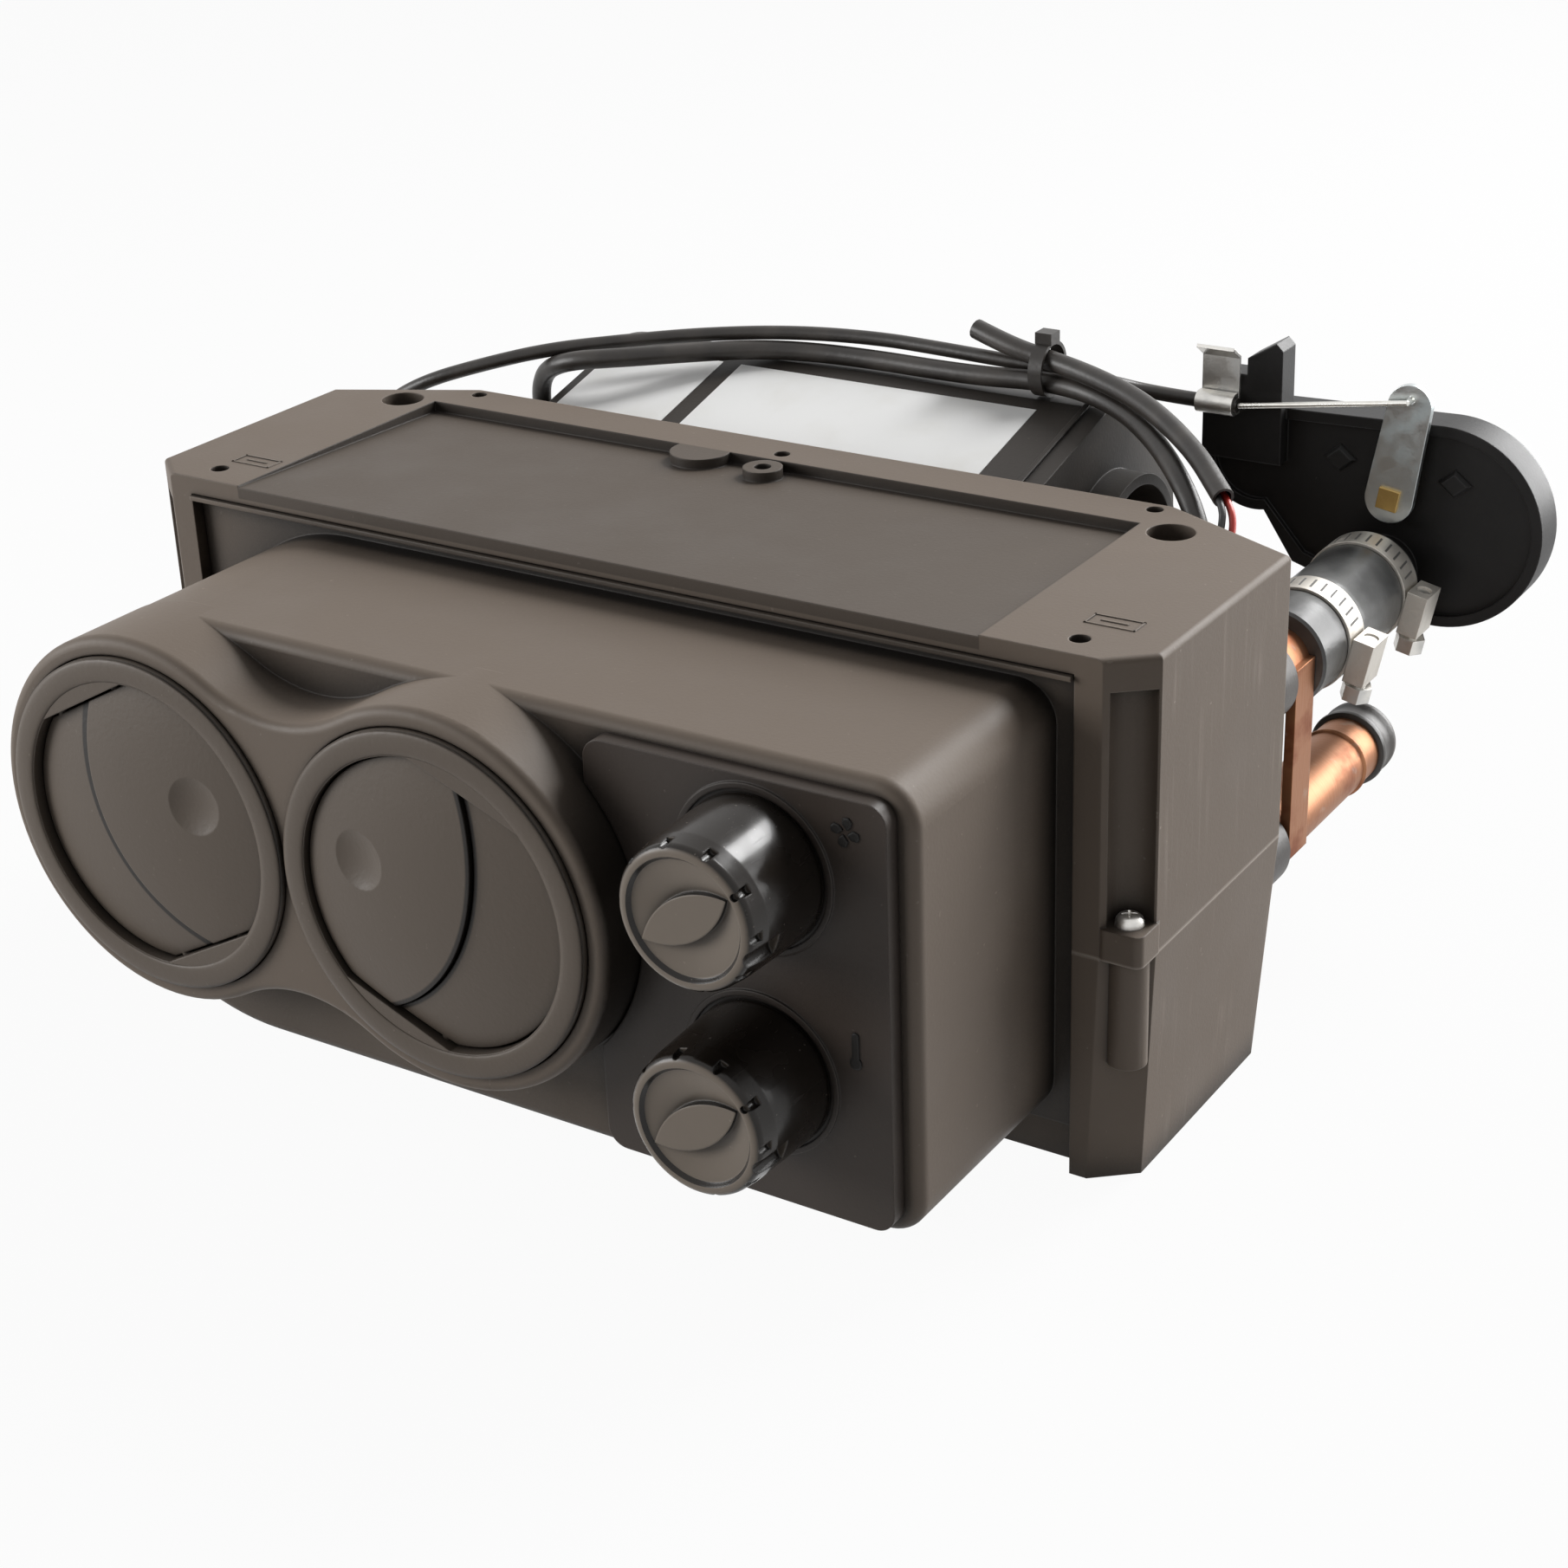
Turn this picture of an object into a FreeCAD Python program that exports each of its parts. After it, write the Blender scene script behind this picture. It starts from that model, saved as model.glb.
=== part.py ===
"""Vehicle cab heater: a moulded two-piece case with a coolant core, a blower behind it, a front plenum with
two turning vents and two control knobs, and a cable-worked coolant valve on a hose.

Frame: X runs along the front, Y points away from the vents, Z is up. The origin lies on the top face,
midway between the two mounting holes. All lengths are millimetres.
"""
import FreeCAD, Part
import math
import os
import Sketcher
from FreeCAD import Placement, Rotation, Vector

# Driving dimensions: name, value, what it measures
DIMENSIONS = [
    ("bolt_spacing", 240.0, "distance between the two mounting holes"),
    ("bolt_hole", 12.0, "diameter of a mounting hole"),
    ("case_shift", 3.4, "case centre line, right of the hole pair's centre"),
    ("case_width", 296.4, "case across its sides"),
    ("case_front", 79.0, "front face ahead of the mounting holes"),
    ("case_back", 16.8, "back face behind the mounting holes"),
    ("side_back", 0.8, "rear end of the sides, ahead of the mounting holes"),
    ("rear_flat", 223.2, "flat part of the back face"),
    ("front_flat", 276.0, "front face between the corner chamfers"),
    ("corner_depth", 8.5, "front corner chamfer along the sides"),
    ("upper_height", 74.0, "top face down to the parting line"),
    ("lower_height", 60.0, "parting line down to the floor"),
    ("case_wall", 2.6, "case wall"),
    ("top_thickness", 6.0, "top of the case beside its recess"),
    ("floor_thickness", 3.0, "case floor"),
    ("back_draft", 6.0, "lower case back face, drawn in at the floor"),
    ("side_draft", 2.4, "lower case sides, drawn in at the floor"),
    ("recess_width", 220.8, "recess in the top face"),
    ("recess_back", 2.5, "back edge of the recess behind the mounting holes"),
    ("recess_depth", 3.0, "depth of the recess at its back edge"),
    ("recess_lip", 0.4, "depth of the recess at the front of the case"),
    ("rebate_width", 262.0, "seat of the plenum in the case front"),
    ("rebate_top", 4.8, "top of that seat below the top face"),
    ("rebate_depth", 6.0, "depth of that seat"),
    ("corner_hole", 5.0, "small hole near a front corner of the top"),
    ("rear_hole", 4.4, "small hole near the back edge of the top"),
    ("boss_radius", 8.3, "round gate boss in the recess"),
    ("eyelet_radius", 5.3, "eyelet in the recess"),
    ("eyelet_hole", 4.6, "hole of the eyelet"),
    ("lug_reach", 5.6, "screw ear of the upper case, from its screw to its sides"),
    ("lug_radius", 4.8, "screw boss of the lower case"),
    ("lug_height", 8.0, "height of a screw ear"),
    ("lug_boss", 28.0, "screw boss below the parting line"),
    ("screw_hole", 4.0, "hole for a case screw"),
    ("screw_head", 6.9, "head of a case screw"),
    ("screw_head_height", 2.8, "height of that head"),
    ("screw_length", 24.0, "case screw below its head"),
    ("groove_shift", 2.0, "groove above a front screw, ahead of the screw"),
    ("window_width", 232.0, "air window between case and plenum"),
    ("window_top", 16.0, "top of that window below the top face"),
    ("window_bottom", 112.0, "bottom of that window below the top face"),
    ("window_round", 42.0, "upper left corner of that window"),
    ("plenum_depth", 59.0, "plenum ahead of the case front"),
    ("plenum_top", 9.6, "plenum top below the top face"),
    ("plenum_right", 128.4, "right side of the plenum"),
    ("plenum_bottom", 121.0, "plenum bottom below the top face"),
    ("plenum_round", 10.0, "right corners of the plenum"),
    ("plenum_edge", 3.0, "rounding round the plenum face"),
    ("plenum_wall", 2.5, "plenum wall"),
    ("flange_gap", 0.3, "plenum flange to its seat, all round"),
    ("flange_thickness", 2.6, "plenum flange"),
    ("flange_lip", 1.2, "lip along the top of that flange"),
    ("vent_left", -77.6, "axis of the left vent"),
    ("vent_right", 10.9, "axis of the right vent"),
    ("collar_radius", 48.2, "vent collar outside"),
    ("collar_bore", 43.8, "vent collar inside"),
    ("collar_height", 18.0, "collar ahead of the plenum face"),
    ("collar_edge", 2.4, "rounding of the collar rim"),
    ("collar_floor", 2.6, "shoulder behind the vent ring"),
    ("collar_throat", 40.0, "radius of the opening in that shoulder"),
    ("saddle_radius", 40.0, "hollow between the two collars"),
    ("ring_gap", 0.35, "vent ring to collar, all round"),
    ("ring_proud", 1.6, "vent ring ahead of its collar"),
    ("flap_radius", 36.6, "round edge of the flaps"),
    ("flap_flat", 33.0, "straight ends of the flaps from the vent axis"),
    ("flap_gap", 0.6, "flap to ring and flap to flap"),
    ("flap_thickness", 2.2, "flap thickness"),
    ("flap_dome", 195.0, "radius of the domed vent face"),
    ("crescent_sink", 1.1, "crescent flap behind the broad one"),
    ("flap_bulge", 12.8, "bow of the line between the flaps"),
    ("split_offset", 1.5, "ends of that line beside the vent axis"),
    ("broad_pivot", 10.0, "pivot of the broad flap beside the vent axis"),
    ("crescent_pivot", 12.4, "pivot of the crescent flap beside the vent axis"),
    ("pivot_radius", 1.4, "flap pin"),
    ("pivot_clearance", 0.08, "flap pin in its hole"),
    ("dimple_offset", 23.0, "finger dimple beside the vent axis"),
    ("dimple_radius", 7.5, "finger dimple"),
    ("dimple_depth", 1.3, "depth of the finger dimple"),
    ("left_turn", 152.0, "turn of the left vent as it stands"),
    ("right_turn", 22.0, "turn of the right vent as it stands"),
    ("panel_left", 46.5, "left edge of the control panel"),
    ("panel_right", 124.0, "right edge of the control panel"),
    ("panel_top", 13.0, "top edge of the control panel below the top face"),
    ("panel_bottom", 117.6, "bottom edge of the control panel"),
    ("panel_thickness", 4.6, "control panel"),
    ("panel_round", 5.0, "corners of the control panel"),
    ("knob_x", 90.4, "axis of both knobs"),
    ("fan_knob_z", 35.0, "fan knob below the top face"),
    ("heat_knob_z", 85.4, "temperature knob below the top face"),
    ("knob_radius", 18.2, "knob at its base"),
    ("knob_front", 17.0, "knob at its front rim"),
    ("knob_height", 26.4, "knob from base to rim"),
    ("knob_rim", 2.6, "width of the knob's front rim"),
    ("knob_dish", 3.0, "hollow of the knob face"),
    ("knob_cap", 4.8, "knob ahead of its spindle hole"),
    ("knob_gap", 0.4, "knob ahead of the panel"),
    ("knob_turn", 33.0, "rise of the knob's pointer to the right, in degrees"),
    ("leaf_width", 10.0, "grip leaf across the knob face"),
    ("leaf_drop", 0.3, "grip leaf behind the knob rim"),
    ("flute_radius", 2.8, "pointer flute in the side of a knob"),
    ("flute_turn", 52.0, "pointer flute below the grip leaf, in degrees"),
    ("knob_ring", 20.4, "raised ring round a knob on the panel"),
    ("knob_ring_width", 1.4, "width of that ring"),
    ("knob_ring_height", 0.6, "height of that ring"),
    ("knob_notch", 1.1, "notches round the knob rim"),
    ("spindle_radius", 3.0, "control spindle"),
    ("spindle_clearance", 0.05, "spindle in its bush"),
    ("bush_radius", 5.0, "threaded bush of a control"),
    ("nut_width", 14.0, "nut of a control, across its flats"),
    ("nut_height", 2.2, "nut of a control"),
    ("control_width", 28.0, "body of a control behind the panel"),
    ("control_depth", 18.0, "depth of that body"),
    ("core_left", -117.0, "left end of the finned core"),
    ("core_right", 123.0, "right end of the finned core"),
    ("core_front", 58.0, "core front ahead of the mounting holes"),
    ("core_depth", 46.0, "core thickness"),
    ("core_top", 13.0, "core top below the top face"),
    ("core_height", 108.0, "core height"),
    ("tank_width", 22.0, "core tank"),
    ("tube_height", 3.0, "flat coolant tube"),
    ("fin_thickness", 0.5, "fin strip"),
    ("pipe_x", 138.0, "axis of both coolant pipes"),
    ("pipe_upper_z", 38.9, "upper pipe below the top face"),
    ("pipe_lower_z", 85.0, "lower pipe below the top face"),
    ("pipe_radius", 9.3, "coolant pipe"),
    ("pipe_wall", 1.1, "coolant pipe wall"),
    ("pipe_bead", 0.7, "bead round a coolant pipe"),
    ("upper_pipe_end", 60.0, "upper pipe behind the mounting holes"),
    ("lower_pipe_end", 85.0, "lower pipe behind the mounting holes"),
    ("strap_thickness", 2.6, "strap that ties the two pipes"),
    ("strap_gap", 1.6, "strap behind the pipe grommets"),
    ("strap_depth", 11.3, "strap from front to back"),
    ("cap_radius", 10.8, "rubber cap on the lower pipe"),
    ("cap_start", 77.0, "open end of the cap behind the mounting holes"),
    ("cap_end", 88.5, "closed end of the cap behind the mounting holes"),
    ("hose_radius", 13.4, "coolant hose outside"),
    ("hose_gap", 0.3, "near end of the hose behind the strap"),
    ("hose_end", 88.0, "hose far end behind the mounting holes"),
    ("clamp_near", 44.0, "near hose clamp behind the mounting holes"),
    ("clamp_far", 81.0, "far hose clamp behind the mounting holes"),
    ("clamp_width", 9.0, "hose clamp band"),
    ("clamp_thickness", 0.8, "hose clamp band thickness"),
    ("clamp_turn", 12.0, "clamp screw below the level of the hose axis, in degrees"),
    ("valve_front", 96.0, "valve face behind the mounting holes"),
    ("valve_depth", 13.0, "valve body from face to back"),
    ("valve_x", 153.0, "centre of the valve's round chamber"),
    ("valve_z", 24.6, "that centre below the top face"),
    ("valve_radius", 28.2, "round chamber of the valve"),
    ("valve_arm_x", 100.0, "centre of the valve's cable end"),
    ("valve_arm_z", 13.0, "that centre below the top face"),
    ("valve_arm_radius", 15.0, "cable end of the valve"),
    ("valve_rim", 3.0, "rim round the valve face"),
    ("valve_rim_height", 1.6, "height of that rim"),
    ("spigot_length", 26.0, "hose spigot of the valve"),
    ("outlet_length", 30.0, "rear spigot of the valve"),
    ("lever_x", 140.4, "lever shaft of the valve"),
    ("lever_z", 17.0, "lever shaft below the top face"),
    ("lever_length", 26.2, "lever from shaft to tip centre"),
    ("lever_turn", 9.2, "lean of the lever to the right, in degrees"),
    ("lever_root", 6.7, "lever end round the shaft"),
    ("lever_tip", 6.0, "lever end at the wire"),
    ("lever_thickness", 2.0, "lever plate"),
    ("lever_gap", 2.6, "lever ahead of the valve rim"),
    ("shaft_radius", 4.0, "valve shaft"),
    ("shaft_clearance", 0.06, "valve shaft in its bore"),
    ("wire_radius", 0.8, "control wire"),
    ("sheath_radius", 2.0, "control cable sheath"),
    ("sheath_end_x", 97.0, "end of the sheath at the valve"),
    ("sheath_z", 3.2, "height of the sheath at the valve, above the top face"),
    ("sheath_y", 89.6, "sheath at the valve behind the mounting holes"),
    ("clip_x", 85.5, "left edge of the cable clip"),
    ("clip_width", 10.8, "cable clip along the sheath"),
    ("clip_thickness", 0.9, "cable clip sheet"),
    ("clip_height", 12.5, "cable clip above the sheath"),
    ("clip_lip", 4.5, "bent lip of the cable clip"),
    ("blower_left", -91.0, "left end of the blower housing"),
    ("blower_width", 160.6, "blower housing along its axis"),
    ("blower_wall", 2.2, "blower housing wall"),
    ("blower_axis_y", 67.0, "blower axis behind the mounting holes"),
    ("blower_axis_z", 38.0, "blower axis below the top face"),
    ("scroll_upper", 42.5, "upper quarter of the scroll"),
    ("scroll_lower", 51.0, "lower quarter of the scroll"),
    ("duct_top", 8.5, "blower outlet top below the top face, at the case"),
    ("duct_bottom", 72.0, "blower outlet bottom below the top face, at the case"),
    ("inlet_radius", 22.0, "air inlet in a blower end"),
    ("inlet_lip", 3.0, "lip round that inlet"),
    ("inlet_lip_height", 9.0, "lip ahead of the blower end"),
    ("wheel_radius", 31.0, "blower wheel"),
    ("wheel_width", 34.0, "blower wheel along its axis"),
    ("wheel_end_gap", 6.0, "blower wheel to the housing end"),
    ("blade_depth", 6.5, "blower wheel blade"),
    ("blade_thickness", 1.2, "blower wheel blade thickness"),
    ("hub_radius", 9.0, "hub of a blower wheel"),
    ("hub_length", 14.0, "hub of a blower wheel along its shaft"),
    ("wheel_disc", 2.0, "disc of a blower wheel"),
    ("motor_radius", 25.0, "blower motor"),
    ("motor_end_gap", 9.1, "blower motor to the disc of a blower wheel"),
    ("motor_shaft_radius", 3.0, "motor shaft"),
    ("motor_shaft_clearance", 0.05, "motor shaft in its bearings"),
    ("cradle_width", 24.0, "motor cradle"),
    ("sleeve_radius", 2.8, "wiring sleeve"),
    ("sleeve_bore", 2.1, "inside of the sleeve that is cut short"),
    ("lead_radius", 0.9, "lead wire"),
    ("grommet_radius", 5.0, "grommet of a single cord"),
    ("harness_grommet", 8.0, "grommet of the sleeve and the leads"),
    ("grommet_length", 11.0, "length of a cord grommet"),
    ("pipe_grommet_rubber", 2.5, "rubber round a coolant pipe in the case wall"),
    ("pipe_grommet_length", 15.0, "pipe grommet"),
    ("tie_radius", 6.7, "inside of the cable tie"),
    ("tie_thickness", 1.0, "cable tie strap thickness"),
    ("tie_width", 4.0, "cable tie strap width"),
]

doc = FreeCAD.newDocument("cab_heater")
sheet = doc.addObject("Spreadsheet::Sheet", "dims")


class Size:
    """A length that carries both its number and the sheet expression that it comes from."""

    def __init__(self, number, text):
        self.number = float(number)
        self.text = text

    @staticmethod
    def of(value):
        """Makes a Size of a plain number, and passes a Size through."""
        return value if isinstance(value, Size) else Size(value, repr(float(value)))

    def combined(self, other, sign):
        """Joins two sizes by one of the four operators."""
        other = Size.of(other)
        results = {"+": self.number + other.number, "-": self.number - other.number,
                   "*": self.number * other.number}
        number = results[sign] if sign in results else self.number / other.number
        return Size(number, f"({self.text} {sign} {other.text})")

    def __add__(self, other):
        return self.combined(other, "+")

    def __radd__(self, other):
        return Size.of(other).combined(self, "+")

    def __sub__(self, other):
        return self.combined(other, "-")

    def __rsub__(self, other):
        return Size.of(other).combined(self, "-")

    def __mul__(self, other):
        return self.combined(other, "*")

    def __rmul__(self, other):
        return Size.of(other).combined(self, "*")

    def __truediv__(self, other):
        return self.combined(other, "/")

    def __neg__(self):
        return Size.of(0).combined(self, "-")

    def __float__(self):
        return self.number


def root(size):
    """Square root of a size."""
    size = Size.of(size)
    return Size(math.sqrt(size.number), f"sqrt({size.text})")


class Dims:
    """The driving dimensions as attributes, each a Size."""


def fill_sheet():
    """Writes the driving dimensions into the sheet and returns them by name."""
    dims = Dims()
    for row, (alias, value, note) in enumerate(DIMENSIONS, start=1):
        sheet.set(f"A{row}", note)
        sheet.set(f"B{row}", str(value))
        sheet.setAlias(f"B{row}", alias)
        setattr(dims, alias, Size(value, f"dims.{alias}"))
    doc.recompute()
    return dims


d = fill_sheet()
parts = {}


def keep(label, item):
    """Names a finished sub-part."""
    item.Label = label
    parts[label] = item
    return item


def bind(item, **sizes):
    """Ties properties of a document object to sizes; a double underscore stands for a dot in the path."""
    for path, size in sizes.items():
        item.setExpression(path.replace("__", "."), Size.of(size).text)


def place(item, x=0, y=0, z=0, axis=None, angle=0):
    """Ties an object's placement to sizes, with an optional turn about one axis."""
    turn = Rotation(axis, float(angle)) if axis else Rotation()
    item.Placement = Placement(Vector(float(x), float(y), float(z)), turn)
    bind(item, Placement__Base__x=x, Placement__Base__y=y, Placement__Base__z=z)
    if isinstance(angle, Size):
        bind(item, Placement__Rotation__Angle=angle)
    return item


X_AXIS, Y_AXIS, Z_AXIS = Vector(1, 0, 0), Vector(0, 1, 0), Vector(0, 0, 1)
AXIS_TURNS = {"x": (Y_AXIS, 90), "y": (X_AXIS, -90), "z": (None, 0)}


def rod(name, radius, length, x=0, y=0, z=0, along="z"):
    """A round bar that starts at a point and runs along +X, +Y or +Z."""
    item = doc.addObject("Part::Cylinder", name)
    bind(item, Radius=radius, Height=length)
    return place(item, x, y, z, *AXIS_TURNS[along])


def block(name, low, high):
    """A box between two corners."""
    item = doc.addObject("Part::Box", name)
    spans = [Size.of(b) - a for a, b in zip(low, high)]
    bind(item, Length=spans[0], Width=spans[1], Height=spans[2])
    return place(item, *low)


def ball(name, radius, x, y, z):
    """A ball about a point."""
    item = doc.addObject("Part::Sphere", name)
    bind(item, Radius=radius)
    return place(item, x, y, z)


def fuse(name, *items):
    """Joins solids into one."""
    item = doc.addObject("Part::MultiFuse", name)
    item.Shapes = list(items)
    return item


def cut(name, base, *tools):
    """Takes tools away from a solid."""
    item = doc.addObject("Part::Cut", name)
    item.Base = base
    item.Tool = tools[0] if len(tools) == 1 else fuse(name + "_tools", *tools)
    return item


def common(name, *items):
    """Keeps what solids share."""
    item = doc.addObject("Part::MultiCommon", name)
    item.Shapes = list(items)
    return item


def group(name, *items):
    """Separate solids that share one node."""
    item = doc.addObject("Part::Compound", name)
    item.Links = list(items)
    return item


def tube(name, outer, inner, length, x=0, y=0, z=0, along="z"):
    """A round tube that starts at a point."""
    outside = rod(name + "_outside", outer, length, x, y, z, along)
    inside = rod(name + "_inside", inner, length, x, y, z, along)
    return cut(name, outside, inside)


PLANES = {"xy": "XY_Plane", "xz": "XZ_Plane", "yz": "YZ_Plane"}


def circle(x, y, radius):
    """A round loop of a sketch."""
    return ("circle", x, y, radius)


def box_loop(left, bottom, right, top):
    """A rectangular loop of a sketch."""
    return [(left, bottom), (right, bottom), (right, top), (left, top)]


def rounded_loop(left, bottom, right, top, radius):
    """A rectangular loop with round corners."""
    return [(left + radius, bottom), (right - radius, bottom, radius, 1), (right, bottom + radius),
            (right, top - radius, radius, 1), (right - radius, top), (left + radius, top, radius, 1),
            (left, top - radius), (left, bottom + radius, radius, 1)]


def fix_point(item, edge, position, x, y):
    """Holds one end of a sketch edge, or its centre, at a place given by sizes."""
    for kind, size in (("DistanceX", x), ("DistanceY", y)):
        size = Size.of(size)
        index = item.addConstraint(Sketcher.Constraint(kind, -1, 1, edge, position, size.number))
        item.setExpression(f"Constraints[{index}]", size.text)


def fix_radius(item, edge, radius):
    """Holds the radius of a round sketch edge."""
    radius = Size.of(radius)
    index = item.addConstraint(Sketcher.Constraint("Radius", edge, radius.number))
    item.setExpression(f"Constraints[{index}]", radius.text)


def draw_loop(item, corners):
    """Draws one closed loop.

    A corner with a radius and a side starts an arc, centred at its left (1) or its right (-1).
    """
    first = len(item.Geometry)
    ends = []
    spots = [Vector(float(corner[0]), float(corner[1]), 0) for corner in corners]
    for index, corner in enumerate(corners):
        start, finish = spots[index], spots[(index + 1) % len(spots)]
        if len(corner) == 2:
            item.addGeometry(Part.LineSegment(start, finish), False)
            ends.append((1, 2))
            continue
        radius, side = float(corner[2]), corner[3]
        chord = finish - start
        across = Vector(-chord.y, chord.x, 0).normalize() * side
        centre = (start + finish) * 0.5 + across * math.sqrt(max(radius ** 2 - chord.Length ** 2 / 4, 0))
        head, tail = (start, finish) if side > 0 else (finish, start)
        angles = [math.atan2(spot.y - centre.y, spot.x - centre.x) for spot in (head, tail)]
        if angles[1] < angles[0]:
            angles[1] += 2 * math.pi
        item.addGeometry(Part.ArcOfCircle(Part.Circle(centre, Z_AXIS, radius), *angles), False)
        ends.append((1, 2) if side > 0 else (2, 1))
    for index, corner in enumerate(corners):
        edge, following = first + index, first + (index + 1) % len(corners)
        item.addConstraint(Sketcher.Constraint("Coincident", edge, ends[index][1], following,
                                               ends[(index + 1) % len(corners)][0]))
        fix_point(item, edge, ends[index][0], corner[0], corner[1])
        if len(corner) > 2:
            fix_radius(item, edge, corner[2])


def sketch(body, plane, at, *loops):
    """A sketch of closed loops on one of the body's planes, at a height along that plane's axis."""
    item = body.newObject("Sketcher::SketchObject", "profile")
    flat = [feature for feature in body.Origin.OriginFeatures if feature.Role == PLANES[plane]][0]
    item.AttachmentSupport = [(flat, "")]
    item.MapMode = "FlatFace"
    height = -Size.of(at) if plane == "xz" else Size.of(at)
    bind(item, AttachmentOffset__Base__z=height)
    for loop in loops:
        if loop[0] == "circle":
            middle = Vector(float(loop[1]), float(loop[2]), 0)
            edge = item.addGeometry(Part.Circle(middle, Z_AXIS, float(loop[3])), False)
            fix_point(item, edge, 3, loop[1], loop[2])
            fix_radius(item, edge, loop[3])
        else:
            draw_loop(item, loop)
    return item


def new_body(name):
    """An empty design body."""
    return doc.addObject("PartDesign::Body", name)


def pad(body, profile, length, back=False):
    """Adds a prism along the sketch's normal: +Z, -Y or +X, or the other way."""
    feature = body.newObject("PartDesign::Pad", "pad")
    feature.Profile = profile
    feature.Reversed = back
    bind(feature, Length=length)
    doc.recompute()
    return feature


def pocket(body, profile, length=None, back=False):
    """Cuts a prism against the sketch's normal, or along it; without a length it goes right through."""
    before = body.Shape.Volume
    feature = body.newObject("PartDesign::Pocket", "pocket")
    feature.Profile = profile
    feature.Reversed = back
    if length is None:
        feature.Type = "ThroughAll"
    else:
        bind(feature, Length=length)
    doc.recompute()
    if not body.Shape.Volume < before - 0.01:
        raise RuntimeError(f"{body.Name}: a pocket cut nothing")
    return feature


def loft(body, *profiles):
    """Adds a straight-sided solid between two sketches."""
    feature = body.newObject("PartDesign::AdditiveLoft", "loft")
    feature.Profile = profiles[0]
    feature.Sections = list(profiles[1:])
    feature.Ruled = True
    doc.recompute()
    return feature


def hollow(body, *profiles):
    """Cuts a straight-sided room between two sketches."""
    feature = body.newObject("PartDesign::SubtractiveLoft", "hollow")
    feature.Profile = profiles[0]
    feature.Sections = list(profiles[1:])
    feature.Ruled = True
    doc.recompute()
    return feature


def polar(body, feature, role, count):
    """Repeats a feature round one of the body's axes."""
    pattern = body.newObject("PartDesign::PolarPattern", "pattern")
    pattern.Originals = [feature]
    pattern.Axis = ([item for item in body.Origin.OriginFeatures if item.Role == role][0], [""])
    pattern.Angle = 360
    pattern.Occurrences = count
    body.Tip = pattern
    doc.recompute()


def soften(body, radius, wanted):
    """Rounds the edges of a body that a test picks out."""
    base = body.Tip
    names = [f"Edge{index}" for index, edge in enumerate(base.Shape.Edges, start=1) if wanted(edge)]
    if not names:
        raise RuntimeError(f"{body.Name}: no edge to round")
    feature = body.newObject("PartDesign::Fillet", "fillet")
    feature.Base = (base, names)
    bind(feature, Radius=radius)
    doc.recompute()
    return feature


def shell(body, wall, opened):
    """Hollows a body to a wall, open at the faces that a test picks out."""
    base = body.Tip
    names = [f"Face{index}" for index, face in enumerate(base.Shape.Faces, start=1) if opened(face)]
    feature = body.newObject("PartDesign::Thickness", "shell")
    feature.Base = (base, names)
    feature.Reversed = True
    feature.Join = 1
    bind(feature, Value=wall)
    doc.recompute()
    return feature


def lies_at(axis, value, slack=0.01):
    """A test: does an edge or a face lie in one plane across an axis?"""
    low, high = axis + "Min", axis + "Max"
    return lambda item: (abs(getattr(item.BoundBox, low) - float(value)) < slack
                         and abs(getattr(item.BoundBox, high) - float(value)) < slack)


HALF = 0.5
centre_x = d.case_shift
half_case = d.case_width * HALF
front_y, back_y = -d.case_front, d.case_back
parting_z = -d.upper_height
floor_z = parting_z - d.lower_height
seat_y = front_y + d.rebate_depth
face_y = front_y - d.plenum_depth
collar_y = face_y - d.collar_height
vent_z = -(d.plenum_top + d.collar_radius - 0.2)
corner_run = half_case - d.front_flat * HALF
corner_slant = root(corner_run * corner_run + d.corner_depth * d.corner_depth)


def case_outline(side_in=0, back_in=0):
    """The case seen from above, drawn in by a draft at the sides and at the back."""
    half, flat, front = half_case - side_in, d.rear_flat * HALF - side_in, d.front_flat * HALF - side_in
    back, shoulder, corner = back_y - back_in, -d.side_back - back_in, front_y + d.corner_depth
    right = [(centre_x + front, front_y), (centre_x + half, corner), (centre_x + half, shoulder),
             (centre_x + flat, back)]
    left = [(centre_x - flat, back), (centre_x - half, shoulder), (centre_x - half, corner),
            (centre_x - front, front_y)]
    return right + left


def case_cavity(side_in=0, back_in=0):
    """The inside of the case seen from above, one wall inside its outline and behind the plenum's seat."""
    wall = d.case_wall
    half, flat = half_case - side_in - wall, d.rear_flat * HALF - side_in - wall * HALF
    back, shoulder = back_y - back_in - wall, -d.side_back - back_in - wall
    front = seat_y + wall
    run, rise = corner_run * 0.65, d.corner_depth * HALF
    return [(centre_x - half + run, front), (centre_x + half - run, front), (centre_x + half, front + rise),
            (centre_x + half, shoulder), (centre_x + flat, back), (centre_x - flat, back),
            (centre_x - half, shoulder), (centre_x - half, front + rise)]


lug_x = (half_case + d.front_flat * HALF) * HALF
lug_y = front_y + d.corner_depth * 0.6
rear_lug_x = d.rear_flat * HALF - d.lug_reach
rear_lug_y = back_y + d.screw_head * HALF + 0.3
lug_spots = [(centre_x + lug_x, lug_y), (centre_x - lug_x, lug_y),
             (centre_x + rear_lug_x, rear_lug_y), (centre_x - rear_lug_x, rear_lug_y)]
pipe_heights = {"upper": -d.pipe_upper_z, "lower": -d.pipe_lower_z}
pipe_hole = d.pipe_radius + d.pipe_grommet_rubber
chamfer_rise = (d.case_back + d.side_back) / (half_case - d.rear_flat * HALF)
chamfer_wall = d.case_wall * root(chamfer_rise * chamfer_rise + 1)


def chamfer_y(x, side):
    """Where the outside of a rear chamfer lies at a place across the case; side 1 is the right one."""
    return -d.side_back + (centre_x * side + half_case - x * side) * chamfer_rise


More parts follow.
